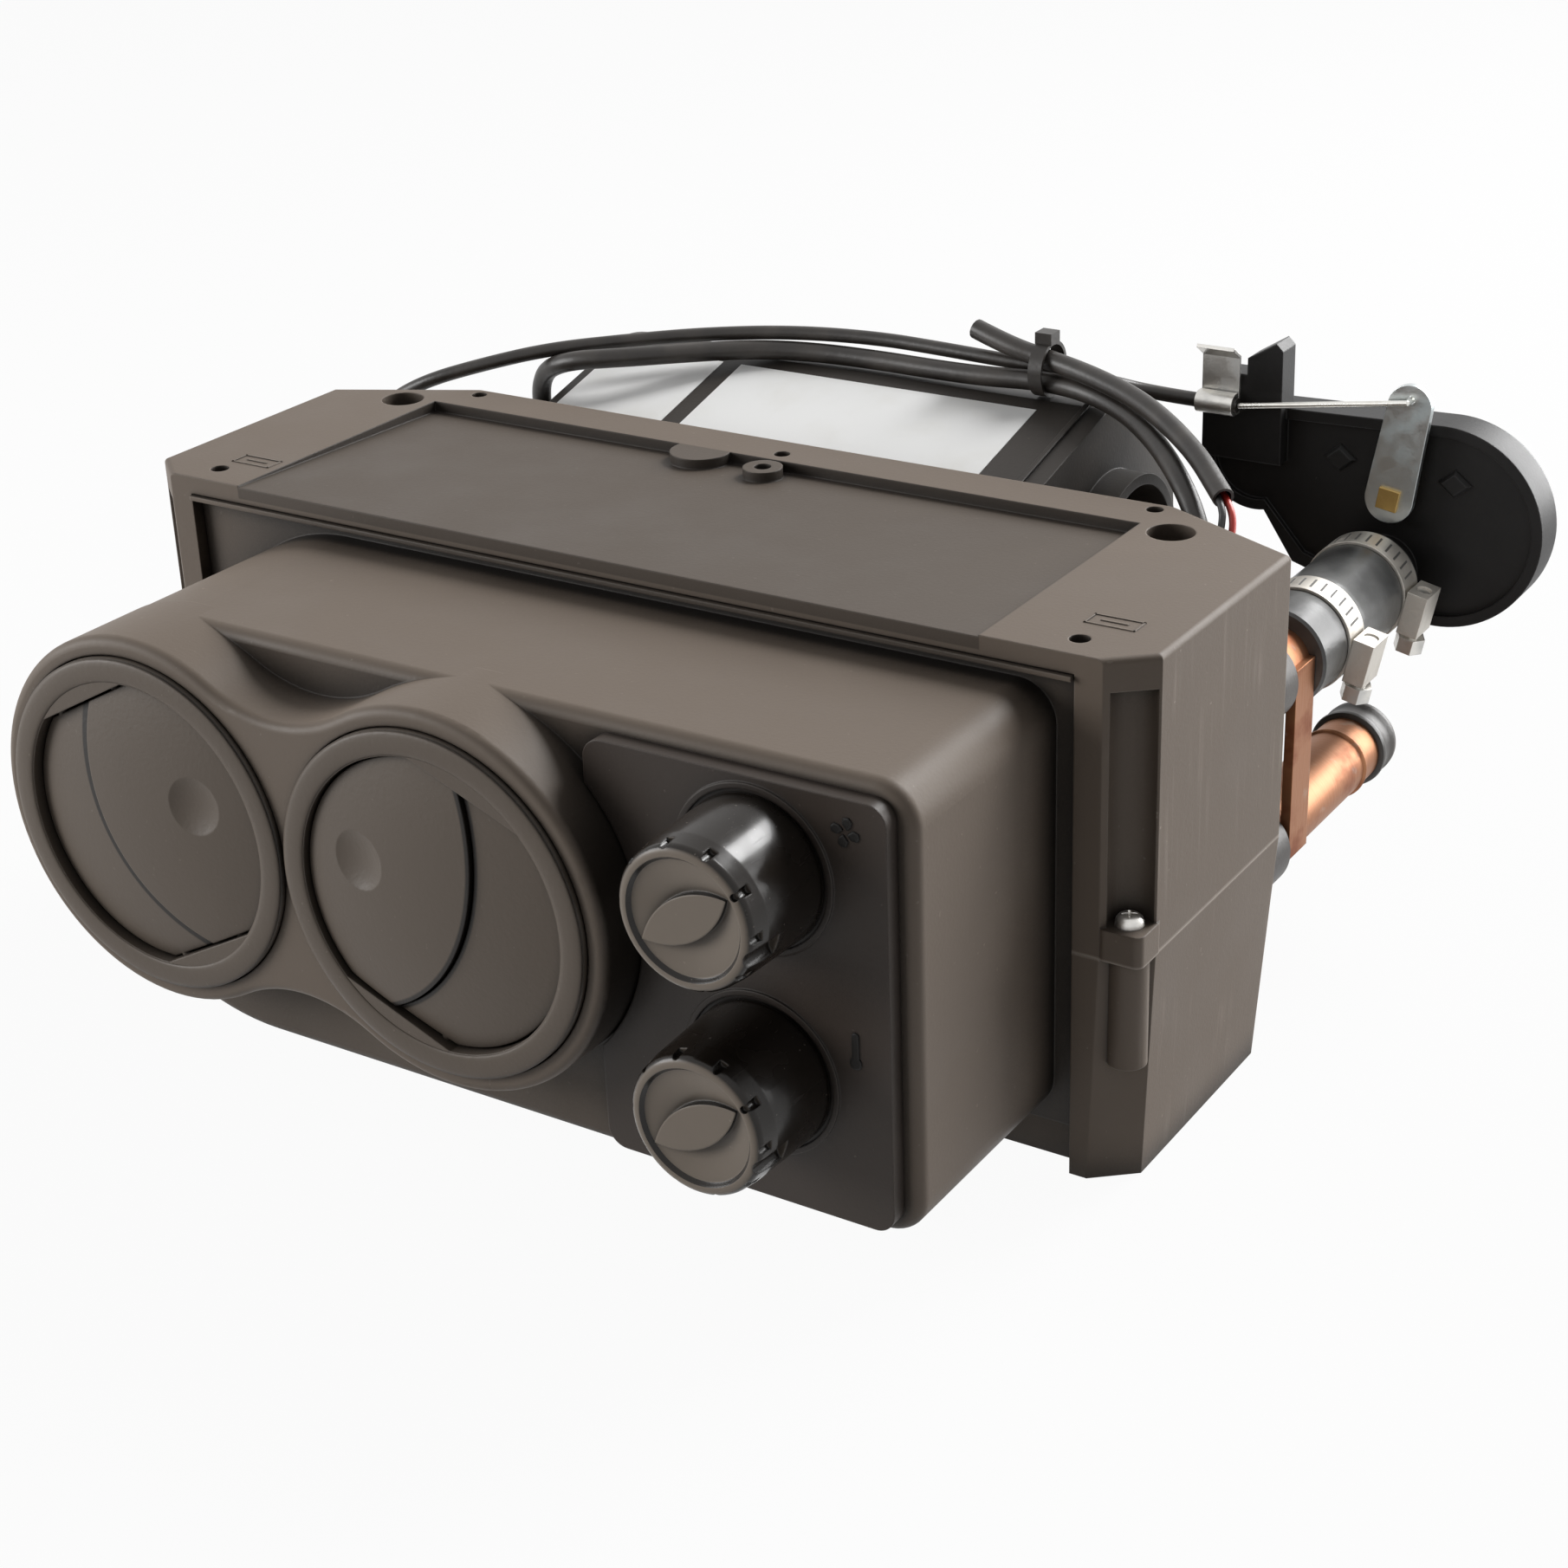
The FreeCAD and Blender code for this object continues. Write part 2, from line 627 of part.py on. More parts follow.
# Places where cords enter the back of the case: across, height, radius of the hole
cord_entries = {"sleeve": (-100, -41.5, d.grommet_radius), "cable": (-128.5, -60, d.grommet_radius),
                "harness": (123, -17.4, d.harness_grommet)}


def make_upper_case():
    """Upper half of the case: top plate with its recess, holes and bosses, walls and screw lugs."""
    body = new_body("upper_case")
    pad(body, sketch(body, "xy", parting_z, case_outline()), d.upper_height)
    soften(body, 1.5, lambda edge: lies_at("Z", 0)(edge) and edge.BoundBox.YLength > 1)
    pocket(body, sketch(body, "xy", parting_z, case_cavity()), d.upper_height - d.top_thickness, back=True)
    half_seat = d.rebate_width * HALF
    pocket(body, sketch(body, "xz", front_y, box_loop(centre_x - half_seat, parting_z, centre_x + half_seat,
                                                      -d.rebate_top)),
           d.rebate_depth)
    left, right = centre_x - d.window_width * HALF, centre_x + d.window_width * HALF
    top, arc = -d.window_top, d.window_round
    window = [(left, parting_z), (right, parting_z), (right, top), (left + arc, top, arc, 1), (left, top - arc)]
    pocket(body, sketch(body, "xz", seat_y, window), d.case_wall * 2)
    half_recess = d.recess_width * HALF
    recess = [(front_y - 1, 1), (front_y - 1, -d.recess_lip), (d.recess_back, -d.recess_depth),
              (d.recess_back, 1)]
    pocket(body, sketch(body, "yz", half_recess, recess), d.recess_width)
    boss_x, eyelet_x = -18, 4.3
    eyelet_y = d.recess_back - 6
    raised = circle(boss_x, d.recess_back - 2, d.boss_radius)
    pad(body, sketch(body, "xy", -d.recess_depth, raised), d.recess_depth)
    pad(body, sketch(body, "xy", -d.recess_depth, circle(eyelet_x, eyelet_y, d.eyelet_radius)),
        d.recess_depth)
    holes = [circle(-d.bolt_spacing * HALF, 0, d.bolt_hole * HALF),
             circle(d.bolt_spacing * HALF, 0, d.bolt_hole * HALF)]
    corner_x, corner_y = d.front_flat * HALF - 10, front_y + d.corner_depth
    holes += [circle(centre_x + side * corner_x, corner_y, d.corner_hole * HALF) for side in (-1, 1)]
    rear_x, rear_y = d.rear_flat * HALF - 5.6, back_y - 3.8
    holes += [circle(centre_x + side * rear_x, rear_y, d.rear_hole * HALF) for side in (-1, 1)]
    pocket(body, sketch(body, "xy", 0, *holes), d.top_thickness + 1)
    pocket(body, sketch(body, "xy", 0, circle(eyelet_x, eyelet_y, d.eyelet_hole * HALF),
                        circle(eyelet_x - 1, d.recess_back + 5, d.rear_hole * HALF)), d.recess_depth + 1)
    duct = box_loop(d.blower_left + d.blower_wall, d.blower_wall - d.duct_bottom,
                    d.blower_left + d.blower_width - d.blower_wall, -d.duct_top - d.blower_wall)
    pocket(body, sketch(body, "xz", back_y, duct), d.case_wall, back=True)
    back_holes = [circle(d.pipe_x, z, pipe_hole) for z in pipe_heights.values()]
    back_holes += [circle(x, z, radius) for x, z, radius in cord_entries.values()]
    pocket(body, sketch(body, "xz", back_y, *back_holes),
           d.case_back + d.side_back + d.core_front - d.core_depth, back=True)
    groove_x = d.groove_shift * d.corner_depth / corner_slant
    groove_y = d.groove_shift * corner_run / corner_slant
    head_room = [circle(x + groove_x * side, y - groove_y, d.screw_head * HALF + 0.25 + d.groove_shift)
                 for side, (x, y) in zip((1, -1), lug_spots)]
    pocket(body, sketch(body, "xy", parting_z + d.lug_height, *head_room),
           d.upper_height - d.lug_height - d.top_thickness - 2, back=True)
    reach = d.lug_reach
    for x, y in lug_spots:
        pad(body, sketch(body, "xy", parting_z,
                         rounded_loop(x - reach, y - reach, x + reach, y + reach, 2)), d.lug_height)
    pocket(body, sketch(body, "xy", parting_z, *[circle(x, y, d.screw_hole * HALF) for x, y in lug_spots]),
           d.lug_height, back=True)
    return keep("upper_case", body)


def make_lower_case():
    """Lower half of the case: a tray whose sides and back draw in towards the floor."""
    body = new_body("lower_case")
    loft(body, sketch(body, "xy", parting_z, case_outline()),
         sketch(body, "xy", floor_z, case_outline(d.side_draft, d.back_draft)))
    hollow(body, sketch(body, "xy", parting_z, case_cavity()),
           sketch(body, "xy", floor_z + d.floor_thickness, case_cavity(d.side_draft, d.back_draft)))
    half_seat = d.rebate_width * HALF
    pocket(body, sketch(body, "xz", front_y, box_loop(centre_x - half_seat, floor_z, centre_x + half_seat,
                                                      parting_z)),
           d.rebate_depth)
    left, right = centre_x - d.window_width * HALF, centre_x + d.window_width * HALF
    bottom, arc = -d.window_bottom, d.window_bottom - d.upper_height
    window = [(left + arc, bottom), (right, bottom), (right, parting_z), (left, parting_z, arc, 1)]
    pocket(body, sketch(body, "xz", seat_y, window), d.case_wall * 2)
    hole = circle(d.pipe_x, pipe_heights["lower"], pipe_hole)
    pocket(body, sketch(body, "xz", back_y, hole), d.case_back + d.side_back + d.core_front - d.core_depth,
           back=True)
    for x, y in lug_spots:
        pad(body, sketch(body, "xy", parting_z, circle(x, y, d.lug_radius)), d.lug_boss, back=True)
    pocket(body, sketch(body, "xy", parting_z, *[circle(x, y, d.screw_hole * HALF) for x, y in lug_spots]),
           d.lug_boss - 4)
    return keep("lower_case", body)


def make_case_screws():
    """Pan-head screws that hold the two case halves together."""
    screws = []
    top = parting_z + d.lug_height
    shank = d.screw_hole * HALF - 0.05
    for index, (x, y) in enumerate(lug_spots):
        head = rod(f"screw_head_{index}", d.screw_head * HALF, d.screw_head_height, x, y, top)
        stem = rod(f"screw_stem_{index}", shank, d.screw_length + 1, x, y, top - d.screw_length)
        screws.append(fuse(f"screw_{index}", head, stem))
    keep("case_screws", group("case_screws", *screws))


def plenum_outline(inside=0):
    """The plenum seen from the front: big rounds at the left, small ones at the right."""
    top, bottom, right = -d.plenum_top - inside, -d.plenum_bottom + inside, d.plenum_right - inside
    upper_round = d.collar_radius - 0.2 - inside
    lower_round = d.plenum_bottom + vent_z - inside
    left = d.vent_left - d.collar_radius + 0.2 + inside
    small = d.plenum_round - inside
    return [(left + lower_round, bottom), (right - small, bottom, small, 1), (right, bottom + small),
            (right, top - small, small, 1), (right - small, top), (left + upper_round, top, upper_round, 1),
            (left, vent_z, lower_round, 1)]


def collar_outline():
    """The two vent collars as one figure of eight with a hollow above and below its waist."""
    radius, hollow = d.collar_radius, d.saddle_radius
    middle = (d.vent_left + d.vent_right) * HALF
    reach = (d.vent_right - d.vent_left) * HALF
    lift = root((radius + hollow) * (radius + hollow) - reach * reach)
    share = radius / (radius + hollow)
    touch_x, touch_z = reach * (1 - share), lift * share
    return [(middle + touch_x, vent_z - touch_z, radius, 1), (d.vent_right, vent_z - radius, radius, 1),
            (d.vent_right + radius, vent_z, radius, 1), (d.vent_right, vent_z + radius, radius, 1),
            (middle + touch_x, vent_z + touch_z, hollow, -1),
            (middle - touch_x, vent_z + touch_z, radius, 1),
            (d.vent_left, vent_z + radius, radius, 1), (d.vent_left - radius, vent_z, radius, 1),
            (d.vent_left, vent_z - radius, radius, 1), (middle - touch_x, vent_z - touch_z, hollow, -1)]


knob_spots = {"fan": (d.knob_x, -d.fan_knob_z), "heat": (d.knob_x, -d.heat_knob_z)}


def make_plenum():
    """Front duct box with the two vent collars moulded on."""
    body = new_body("front_plenum")
    pad(body, sketch(body, "xz", seat_y, plenum_outline()), seat_y - face_y)
    soften(body, d.plenum_edge, lies_at("Y", face_y))
    lap = d.plenum_edge * 3
    pad(body, sketch(body, "xz", face_y + lap, collar_outline()), d.collar_height + lap)
    soften(body, d.collar_edge, lies_at("Y", collar_y))
    pocket(body, sketch(body, "xz", seat_y, plenum_outline(d.plenum_wall)), seat_y - face_y - d.plenum_wall,
           back=True)
    half_seat, flange_top = d.rebate_width * HALF - d.flange_gap, -d.rebate_top - d.flange_gap
    ends = centre_x - half_seat, centre_x + half_seat
    flange = box_loop(ends[0], -d.plenum_bottom - 2, ends[1], flange_top)
    pad(body, sketch(body, "xz", seat_y, flange, plenum_outline(d.plenum_wall * HALF)), d.flange_thickness)
    lip = box_loop(ends[0], flange_top - d.flange_lip, ends[1], flange_top)
    pad(body, sketch(body, "xz", seat_y, lip), d.rebate_depth + d.flange_lip)
    vents = (d.vent_left, d.vent_right)
    pocket(body, sketch(body, "xz", collar_y, *[circle(x, vent_z, d.collar_bore) for x in vents]),
           d.collar_height - d.collar_floor)
    pocket(body, sketch(body, "xz", collar_y, *[circle(x, vent_z, d.collar_throat) for x in vents]),
           d.collar_height + d.plenum_wall + 1)
    pocket(body, sketch(body, "xz", face_y, *[circle(x, z, d.bush_radius) for x, z in knob_spots.values()]),
           d.plenum_wall + 1)
    return keep("front_plenum", body)


def make_panel():
    """Thin control panel on the plenum face, cut round the right collar."""
    body = new_body("control_panel")
    panel = rounded_loop(d.panel_left, -d.panel_bottom, d.panel_right, -d.panel_top, d.panel_round)
    pad(body, sketch(body, "xz", face_y, panel), d.panel_thickness)
    for x, z in knob_spots.values():
        ring = (circle(x, z, d.knob_ring), circle(x, z, d.knob_ring - d.knob_ring_width))
        pad(body, sketch(body, "xz", face_y - d.panel_thickness, *ring), d.knob_ring_height)
    pocket(body, sketch(body, "xz", face_y - d.panel_thickness,
                        circle(d.vent_right, vent_z, d.collar_radius + 0.6)),
           d.panel_thickness + 1)
    holes = [circle(x, z, d.bush_radius) for x, z in knob_spots.values()]
    pocket(body, sketch(body, "xz", face_y - d.panel_thickness, *holes), d.panel_thickness + 1)
    return keep("control_panel", body)


def flap_loop(side):
    """Outline of one flap: -1 is the broad one, 1 the crescent; the vent axis is the sketch's origin."""
    flat, radius, gap = d.flap_flat, d.flap_radius, d.flap_gap * HALF
    corner = root(radius * radius - flat * flat)
    bow = (flat * flat + d.flap_bulge * d.flap_bulge) / (d.flap_bulge * 2)
    split = -d.split_offset + gap * side
    middle = split + d.flap_bulge
    if side < 0:
        return [(split, -flat, bow, 1), (middle, 0, bow, 1), (split, flat), (-corner, flat, radius, 1),
                (-radius, 0, radius, 1), (-corner, -flat)]
    return [(split, -flat), (corner, -flat, radius, 1), (radius, 0, radius, 1), (corner, flat),
            (split, flat, bow, -1),
            (middle, 0, bow, -1)]


ring_back = face_y - d.collar_floor - d.ring_gap
ring_front = collar_y - d.ring_proud
flap_edge_y = collar_y
pivot_y = flap_edge_y + d.flap_thickness
pivots = {"broad": -d.broad_pivot, "crescent": d.crescent_pivot}


def make_vent_ring(side, x, turn):
    """Turning ring of one vent, with the straight lugs that carry the flap pins."""
    body = new_body(f"{side}_vent_ring")
    inner, flat = d.flap_radius + d.flap_gap, d.flap_flat + d.flap_gap
    corner = root(inner * inner - flat * flat)
    opening = [(-corner, -flat), (corner, -flat, inner, 1), (inner, 0, inner, 1), (corner, flat),
               (-corner, flat, inner, 1),
               (-inner, 0, inner, 1)]
    outside = d.collar_bore - d.ring_gap
    pad(body, sketch(body, "xz", ring_back, circle(0, 0, outside), opening), ring_back - ring_front)
    at_front, widest = lies_at("Y", ring_front), 2 * float(inner) + 1
    soften(body, 1.6, lambda edge: at_front(edge) and edge.BoundBox.XLength > widest)
    groove = [circle(0, 0, outside - 1.6), circle(0, 0, outside - 2.6)]
    pocket(body, sketch(body, "xz", ring_front, *groove), 0.8)
    hole = d.pivot_radius + d.pivot_clearance
    holes = [circle(u, pivot_y, hole) for u in pivots.values()]
    reach = flat + 4
    pocket(body, sketch(body, "xy", reach, *holes), reach * 2)
    place(body, x, 0, vent_z, Y_AXIS, turn)
    return keep(f"{side}_vent_ring", body)


def make_flap(side, kind, x, turn):
    """One flap of a vent: a domed plate with a pin at each end, the broad one with a finger dimple."""
    name = f"{side}_vent_{kind}_flap"
    plate = new_body(name + "_plate")
    pad(plate, sketch(plate, "xz", flap_edge_y + d.flap_thickness * 2,
                      flap_loop(-1 if kind == "broad" else 1)),
        d.flap_thickness * 2 + 8)
    edge_drop = d.flap_dome - root(d.flap_dome * d.flap_dome - d.flap_radius * d.flap_radius)
    dome_y = flap_edge_y - edge_drop + d.flap_dome + d.crescent_sink * (1 if kind == "crescent" else 0)
    dome = cut(name + "_dome", ball(name + "_outer", d.flap_dome, 0, dome_y, 0),
               ball(name + "_inner", d.flap_dome - d.flap_thickness, 0, dome_y, 0))
    flap = common(name + "_skin", plate, dome)
    if kind == "broad":
        depth, radius = d.dimple_depth, d.dimple_radius
        hollow = (radius * radius + depth * depth) / (depth * 2)
        skin_y = dome_y - root(d.flap_dome * d.flap_dome - d.dimple_offset * d.dimple_offset)
        flap = cut(name + "_dimpled", flap, ball(name + "_dimple", hollow, -d.dimple_offset,
                                                 skin_y + depth - hollow, 0))
    pin_end, pin_start = d.flap_flat + d.flap_gap + 3.4, d.flap_flat - 5
    pins = [rod(f"{name}_pin_{end}", d.pivot_radius, pin_end - pin_start, pivots[kind], pivot_y, start)
            for end, start in (("top", pin_start), ("bottom", -pin_end))]
    whole = fuse(name, flap, *pins)
    place(whole, x, 0, vent_z, Y_AXIS, turn)
    return keep(name, whole)


KNOB_NOTCHES = 10
panel_y = face_y - d.panel_thickness
nut_y = panel_y - d.nut_height
knob_y = nut_y - d.knob_gap


def make_knob(name, x, z):
    """Round control knob: a turned body with a notched rim, a dished face and a leaf-shaped grip across it."""
    body = new_body(name)
    base, rim, bore = d.knob_radius, d.knob_front, d.spindle_radius
    skirt = panel_y - d.knob_gap
    front = skirt - d.knob_height
    room = d.nut_width / math.sqrt(3) + 1
    dish = rim - d.knob_rim
    tip = front + d.knob_cap
    turned = body.newObject("PartDesign::Revolution", "turned")
    turned.Profile = sketch(body, "xy", 0, [
        (bore, knob_y - 3), (room, knob_y - 3), (room, skirt), (base, skirt), (rim + 0.5, front + 6),
        (rim, front + 2, 2, -1), (rim - 2, front), (dish, front), (dish - 0.8, front + 1),
        (bore, front + d.knob_dish)])
    turned.ReferenceAxis = (turned.Profile[0], ["V_Axis"])
    turned.Angle = 360
    doc.recompute()
    half, reach = d.leaf_width * HALF, dish - 1.4
    bow = (reach * reach + half * half) / (half * 2)
    leaf = [(-reach, 0, bow, 1), (0, -half, bow, 1), (reach, 0, bow, 1), (0, half, bow, 1)]
    pad(body, sketch(body, "xz", tip, leaf), d.knob_cap - d.leaf_drop)
    angle = math.radians(d.flute_turn.number)
    flute_at = rim + d.flute_radius * HALF
    flute = circle(flute_at * math.cos(angle), -flute_at * math.sin(angle), d.flute_radius)
    pocket(body, sketch(body, "xz", front - 1, flute, circle(rim - d.knob_rim * HALF, 0, 0.9)), 2.2)
    pocket(body, sketch(body, "xz", front - 1, flute), 11)
    notch = pocket(body, sketch(body, "xz", front - 1, circle(rim + 0.2, 0, d.knob_notch)), 5)
    polar(body, notch, "Y_Axis", KNOB_NOTCHES)
    place(body, x, 0, z, Y_AXIS, -d.knob_turn)
    return keep(name, body)


def make_control(name, label, x, z):
    """One rotary control behind the panel: its body with a threaded bush, its nut and its spindle."""
    wall_back = face_y + d.plenum_wall
    half = d.control_width * HALF
    case = block(f"{name}_case", (x - half, wall_back, z - half),
                 (x + half, wall_back + d.control_depth, z + half))
    bush = rod(f"{name}_bush", d.bush_radius - 0.1, wall_back - nut_y + 1, x, nut_y, z, "y")
    hole = rod(f"{name}_hole", d.spindle_radius + d.spindle_clearance,
               wall_back + d.control_depth * HALF + 1 - nut_y, x, nut_y, z, "y")
    keep(label, cut(label, fuse(f"{name}_solid", case, bush), hole))
    nut = doc.addObject("Part::Prism", f"{name}_nut_hex")
    nut.Polygon = 6
    bind(nut, Circumradius=d.nut_width / math.sqrt(3), Height=d.nut_height)
    place(nut, x, panel_y, z, X_AXIS, 90)
    nut_bore = rod(f"{name}_nut_bore", d.bush_radius, d.nut_height + 2, x, nut_y - 1, z, "y")
    tip = panel_y - d.knob_gap - d.knob_height + d.knob_cap
    spindle = rod(f"{name}_spindle", d.spindle_radius, wall_back + d.control_depth * HALF - tip, x, tip, z,
                  "y")
    keep(f"{name}_spindle", spindle)
    return cut(f"{name}_nut", nut, nut_bore)


def make_controls():
    """Fan switch and temperature control with their nuts, spindles and knobs."""
    nuts = [make_control("fan", "fan_switch", *knob_spots["fan"]),
            make_control("temperature", "temperature_control", *knob_spots["heat"])]
    keep("control_nuts", group("control_nuts", *nuts))
    make_knob("fan_knob", *knob_spots["fan"])
    make_knob("temperature_knob", *knob_spots["heat"])


core_back = -d.core_front + d.core_depth
TUBE_COUNT = 7
FIN_FOLDS = 26


def make_core():
    """Coolant core: flat tubes between two tanks, folded fin strips between the tubes, and foam seals."""
    pitch = (d.core_height - d.tube_height) / (TUBE_COUNT - 1)
    bottom = -d.core_top - d.core_height
    low_y, high_y = -d.core_front + 3, core_back - 3
    tubes = [block(f"tube_{n}", (d.core_left, low_y, bottom + pitch * n),
                   (d.core_right, high_y, bottom + pitch * n + d.tube_height)) for n in range(TUBE_COUNT)]
    keep("core_tubes", group("core_tubes", *tubes))
    strips = [fin_strip(bottom + pitch * n + d.tube_height, pitch - d.tube_height, low_y,
                        high_y) for n in range(TUBE_COUNT - 1)]
    fins = doc.addObject("Part::Feature", "core_fins")
    fins.Shape = Part.makeCompound(strips)
    keep("core_fins", fins)
    left = block("left_tank", (d.core_left - d.tank_width, -d.core_front, bottom),
                 (d.core_left, core_back, -d.core_top))
    keep("core_left_tank", left)
    tank_end = d.core_right + d.tank_width + 1
    right = block("right_tank_block", (d.core_right, -d.core_front, bottom),
                  (tank_end, core_back, -d.core_top))
    margin = d.pipe_radius + 3
    pad_low = (d.core_right + 4, core_back - 12, pipe_heights["lower"] - margin)
    pad_high = (d.pipe_x + d.pipe_radius + 0.3, core_back, pipe_heights["upper"] + margin)
    boss = block("right_tank_pad", pad_low, pad_high)
    bores = [rod(f"tank_bore_{name}", d.pipe_radius, 8, d.pipe_x, core_back - 8, z, "y")
             for name, z in pipe_heights.items()]
    keep("core_right_tank", cut("core_right_tank", fuse("right_tank_solid", right, boss), *bores))
    ends = d.core_left - d.tank_width, tank_end
    middle = (-d.core_front + core_back) * HALF
    seals = [block("top_seal", (ends[0], middle - 12, -d.core_top),
                   (ends[1], middle + 12, -d.top_thickness)),
             block("bottom_seal", (ends[0], middle - 12, floor_z + d.floor_thickness),
                   (ends[1], middle + 12, bottom))]
    keep("core_seals", group("core_seals", *seals))


def fin_strip(bottom, height, low_y, high_y):
    """One folded fin strip between two tubes, as a zigzag sheet run from front to back."""
    step = (d.core_right.number - d.core_left.number) / (2 * FIN_FOLDS)
    low, high = bottom.number, (bottom + height).number
    thick = d.fin_thickness.number * math.hypot(1, height.number / step)
    lower = [Vector(d.core_left.number + step * n, low_y.number, low if n % 2 == 0 else high - thick)
             for n in range(2 * FIN_FOLDS + 1)]
    upper = [spot + Vector(0, 0, thick) for spot in reversed(lower)]
    face = Part.Face(Part.makePolygon(lower + upper + [lower[0]]))
    return face.extrude(Vector(0, (high_y - low_y).number, 0))


def make_pipe(name, z, end, bead_at):
    """One copper coolant pipe out of the right tank, with a bead near its end."""
    start = core_back - 8
    whole = tube(f"{name}_tube", d.pipe_radius, d.pipe_radius - d.pipe_wall, end - start, d.pipe_x, start,
                 z, "y")
    bead = doc.addObject("Part::Torus", f"{name}_bead")
    bind(bead, Radius1=d.pipe_radius - 0.2, Radius2=d.pipe_bead + 0.2)
    place(bead, d.pipe_x, bead_at, z, X_AXIS, -90)
    keep(name, fuse(name, whole, bead))


def make_pipework():
    """Coolant pipes, their strap and grommets, the cap on the lower one and the hose on the upper one."""
    upper, lower = pipe_heights["upper"], pipe_heights["lower"]
    start, y_end = core_back - 8, d.upper_pipe_end
    keep("upper_pipe", tube("upper_pipe", d.pipe_radius, d.pipe_radius - d.pipe_wall, y_end - start,
                            d.pipe_x, start, upper, "y"))
    make_pipe("lower_pipe", lower, d.lower_pipe_end, d.cap_start - 10)
    edge = d.pipe_x + d.pipe_radius
    socket_y = chamfer_y(d.pipe_x, 1) - chamfer_wall * HALF
    strap_front = socket_y + d.pipe_grommet_length * HALF + d.strap_gap
    strap = block("strap_plate", (edge - 1.2, strap_front, lower - 3),
                  (edge - 1.2 + d.strap_thickness, strap_front + d.strap_depth, upper + 3))
    pipes = [rod(f"strap_clear_{n}", d.pipe_radius, d.strap_depth + 4, d.pipe_x, strap_front - 2, z, "y")
             for n, z in enumerate((upper, lower))]
    keep("pipe_strap", cut("pipe_strap", strap, *pipes))
    sockets = []
    for name, z in pipe_heights.items():
        start = socket_y - d.pipe_grommet_length * HALF
        sleeve = tube(f"{name}_grommet", pipe_hole, d.pipe_radius, d.pipe_grommet_length, d.pipe_x, start,
                      z, "y")
        sockets.append(sleeve)
    keep("pipe_grommets", group("pipe_grommets", *sockets))
    cap = rod("cap_solid", d.cap_radius, d.cap_end - d.cap_start, d.pipe_x, d.cap_start, lower, "y")
    hollow = rod("cap_hollow", d.pipe_radius, d.lower_pipe_end - d.cap_start, d.pipe_x, d.cap_start, lower,
                 "y")
    rounded = doc.addObject("Part::Fillet", "cap_round")
    rounded.Base = cap
    doc.recompute()
    rim = [n for n, e in enumerate(cap.Shape.Edges, start=1) if lies_at("Y", d.cap_end)(e)]
    rounded.Edges = [(n, 2.2, 2.2) for n in rim]
    keep("pipe_cap", cut("pipe_cap", rounded, hollow))
    hose_start = strap_front + d.strap_depth + d.hose_gap
    keep("coolant_hose", tube("coolant_hose", d.hose_radius, d.pipe_radius, d.hose_end - hose_start,
                              d.pipe_x, hose_start, upper, "y"))
    for name, y in (("near", d.clamp_near), ("far", d.clamp_far)):
        make_clamp(name, y, upper)


def make_clamp(name, y, z):
    """Worm-drive hose clamp: its band with the worm housing, and its hex screw across the band."""
    inner, outer = d.hose_radius, d.hose_radius + d.clamp_thickness
    start = y - d.clamp_width * HALF
    band = tube(f"{name}_band", outer, inner, d.clamp_width, 0, start, 0, "y")
    housing = block(f"{name}_worm_block", (outer - 0.3, y - d.clamp_width * 0.55, -6),
                    (outer + 5.4, y + d.clamp_width * 0.55, 6))
    screw_x = outer + 2.6
    bore = rod(f"{name}_worm_bore", 2.0, 14, screw_x, y, -7)
    whole = cut(f"{name}_clamp", fuse(f"{name}_clamp_solid", band, housing), bore)
    shank = rod(f"{name}_screw_shank", 1.95, 13.5, screw_x, y, -8)
    head = doc.addObject("Part::Prism", f"{name}_screw_head")
    head.Polygon = 6
    bind(head, Circumradius=4.0, Height=4.2)
    place(head, screw_x, y, -11.8)
    screw = fuse(f"{name}_clamp_screw", shank, head)
    for label, item in ((f"{name}_hose_clamp", whole), (f"{name}_clamp_screw", screw)):
        place(item, d.pipe_x, 0, z, Y_AXIS, d.clamp_turn)
        keep(label, item)


def valve_outline(inside=0):
    """The valve seen from the front: a round chamber and a narrower cable end."""
    big, small = d.valve_radius - inside, d.valve_arm_radius - inside
    big_x, big_z, arm_x, arm_z = d.valve_x, -d.valve_z, d.valve_arm_x, -d.valve_arm_z
    return [(arm_x, arm_z + small, small, 1), (arm_x - small, arm_z, small, 1),
            (arm_x + 3, arm_z - small + 0.5),
            (arm_x + 12 + inside, arm_z - small - 13), (big_x - 6, big_z - big + 1.0, big, 1),
            (big_x + big, big_z, big, 1),
            (big_x, big_z + big)]


valve_back = d.valve_front + d.valve_depth
lever_front = d.valve_front - d.lever_gap - d.lever_thickness
clip_inner = d.sheath_radius + 0.1
clip_back = d.sheath_y + clip_inner
lever_axis = Vector(d.lever_x.number, 0, -d.lever_z.number)


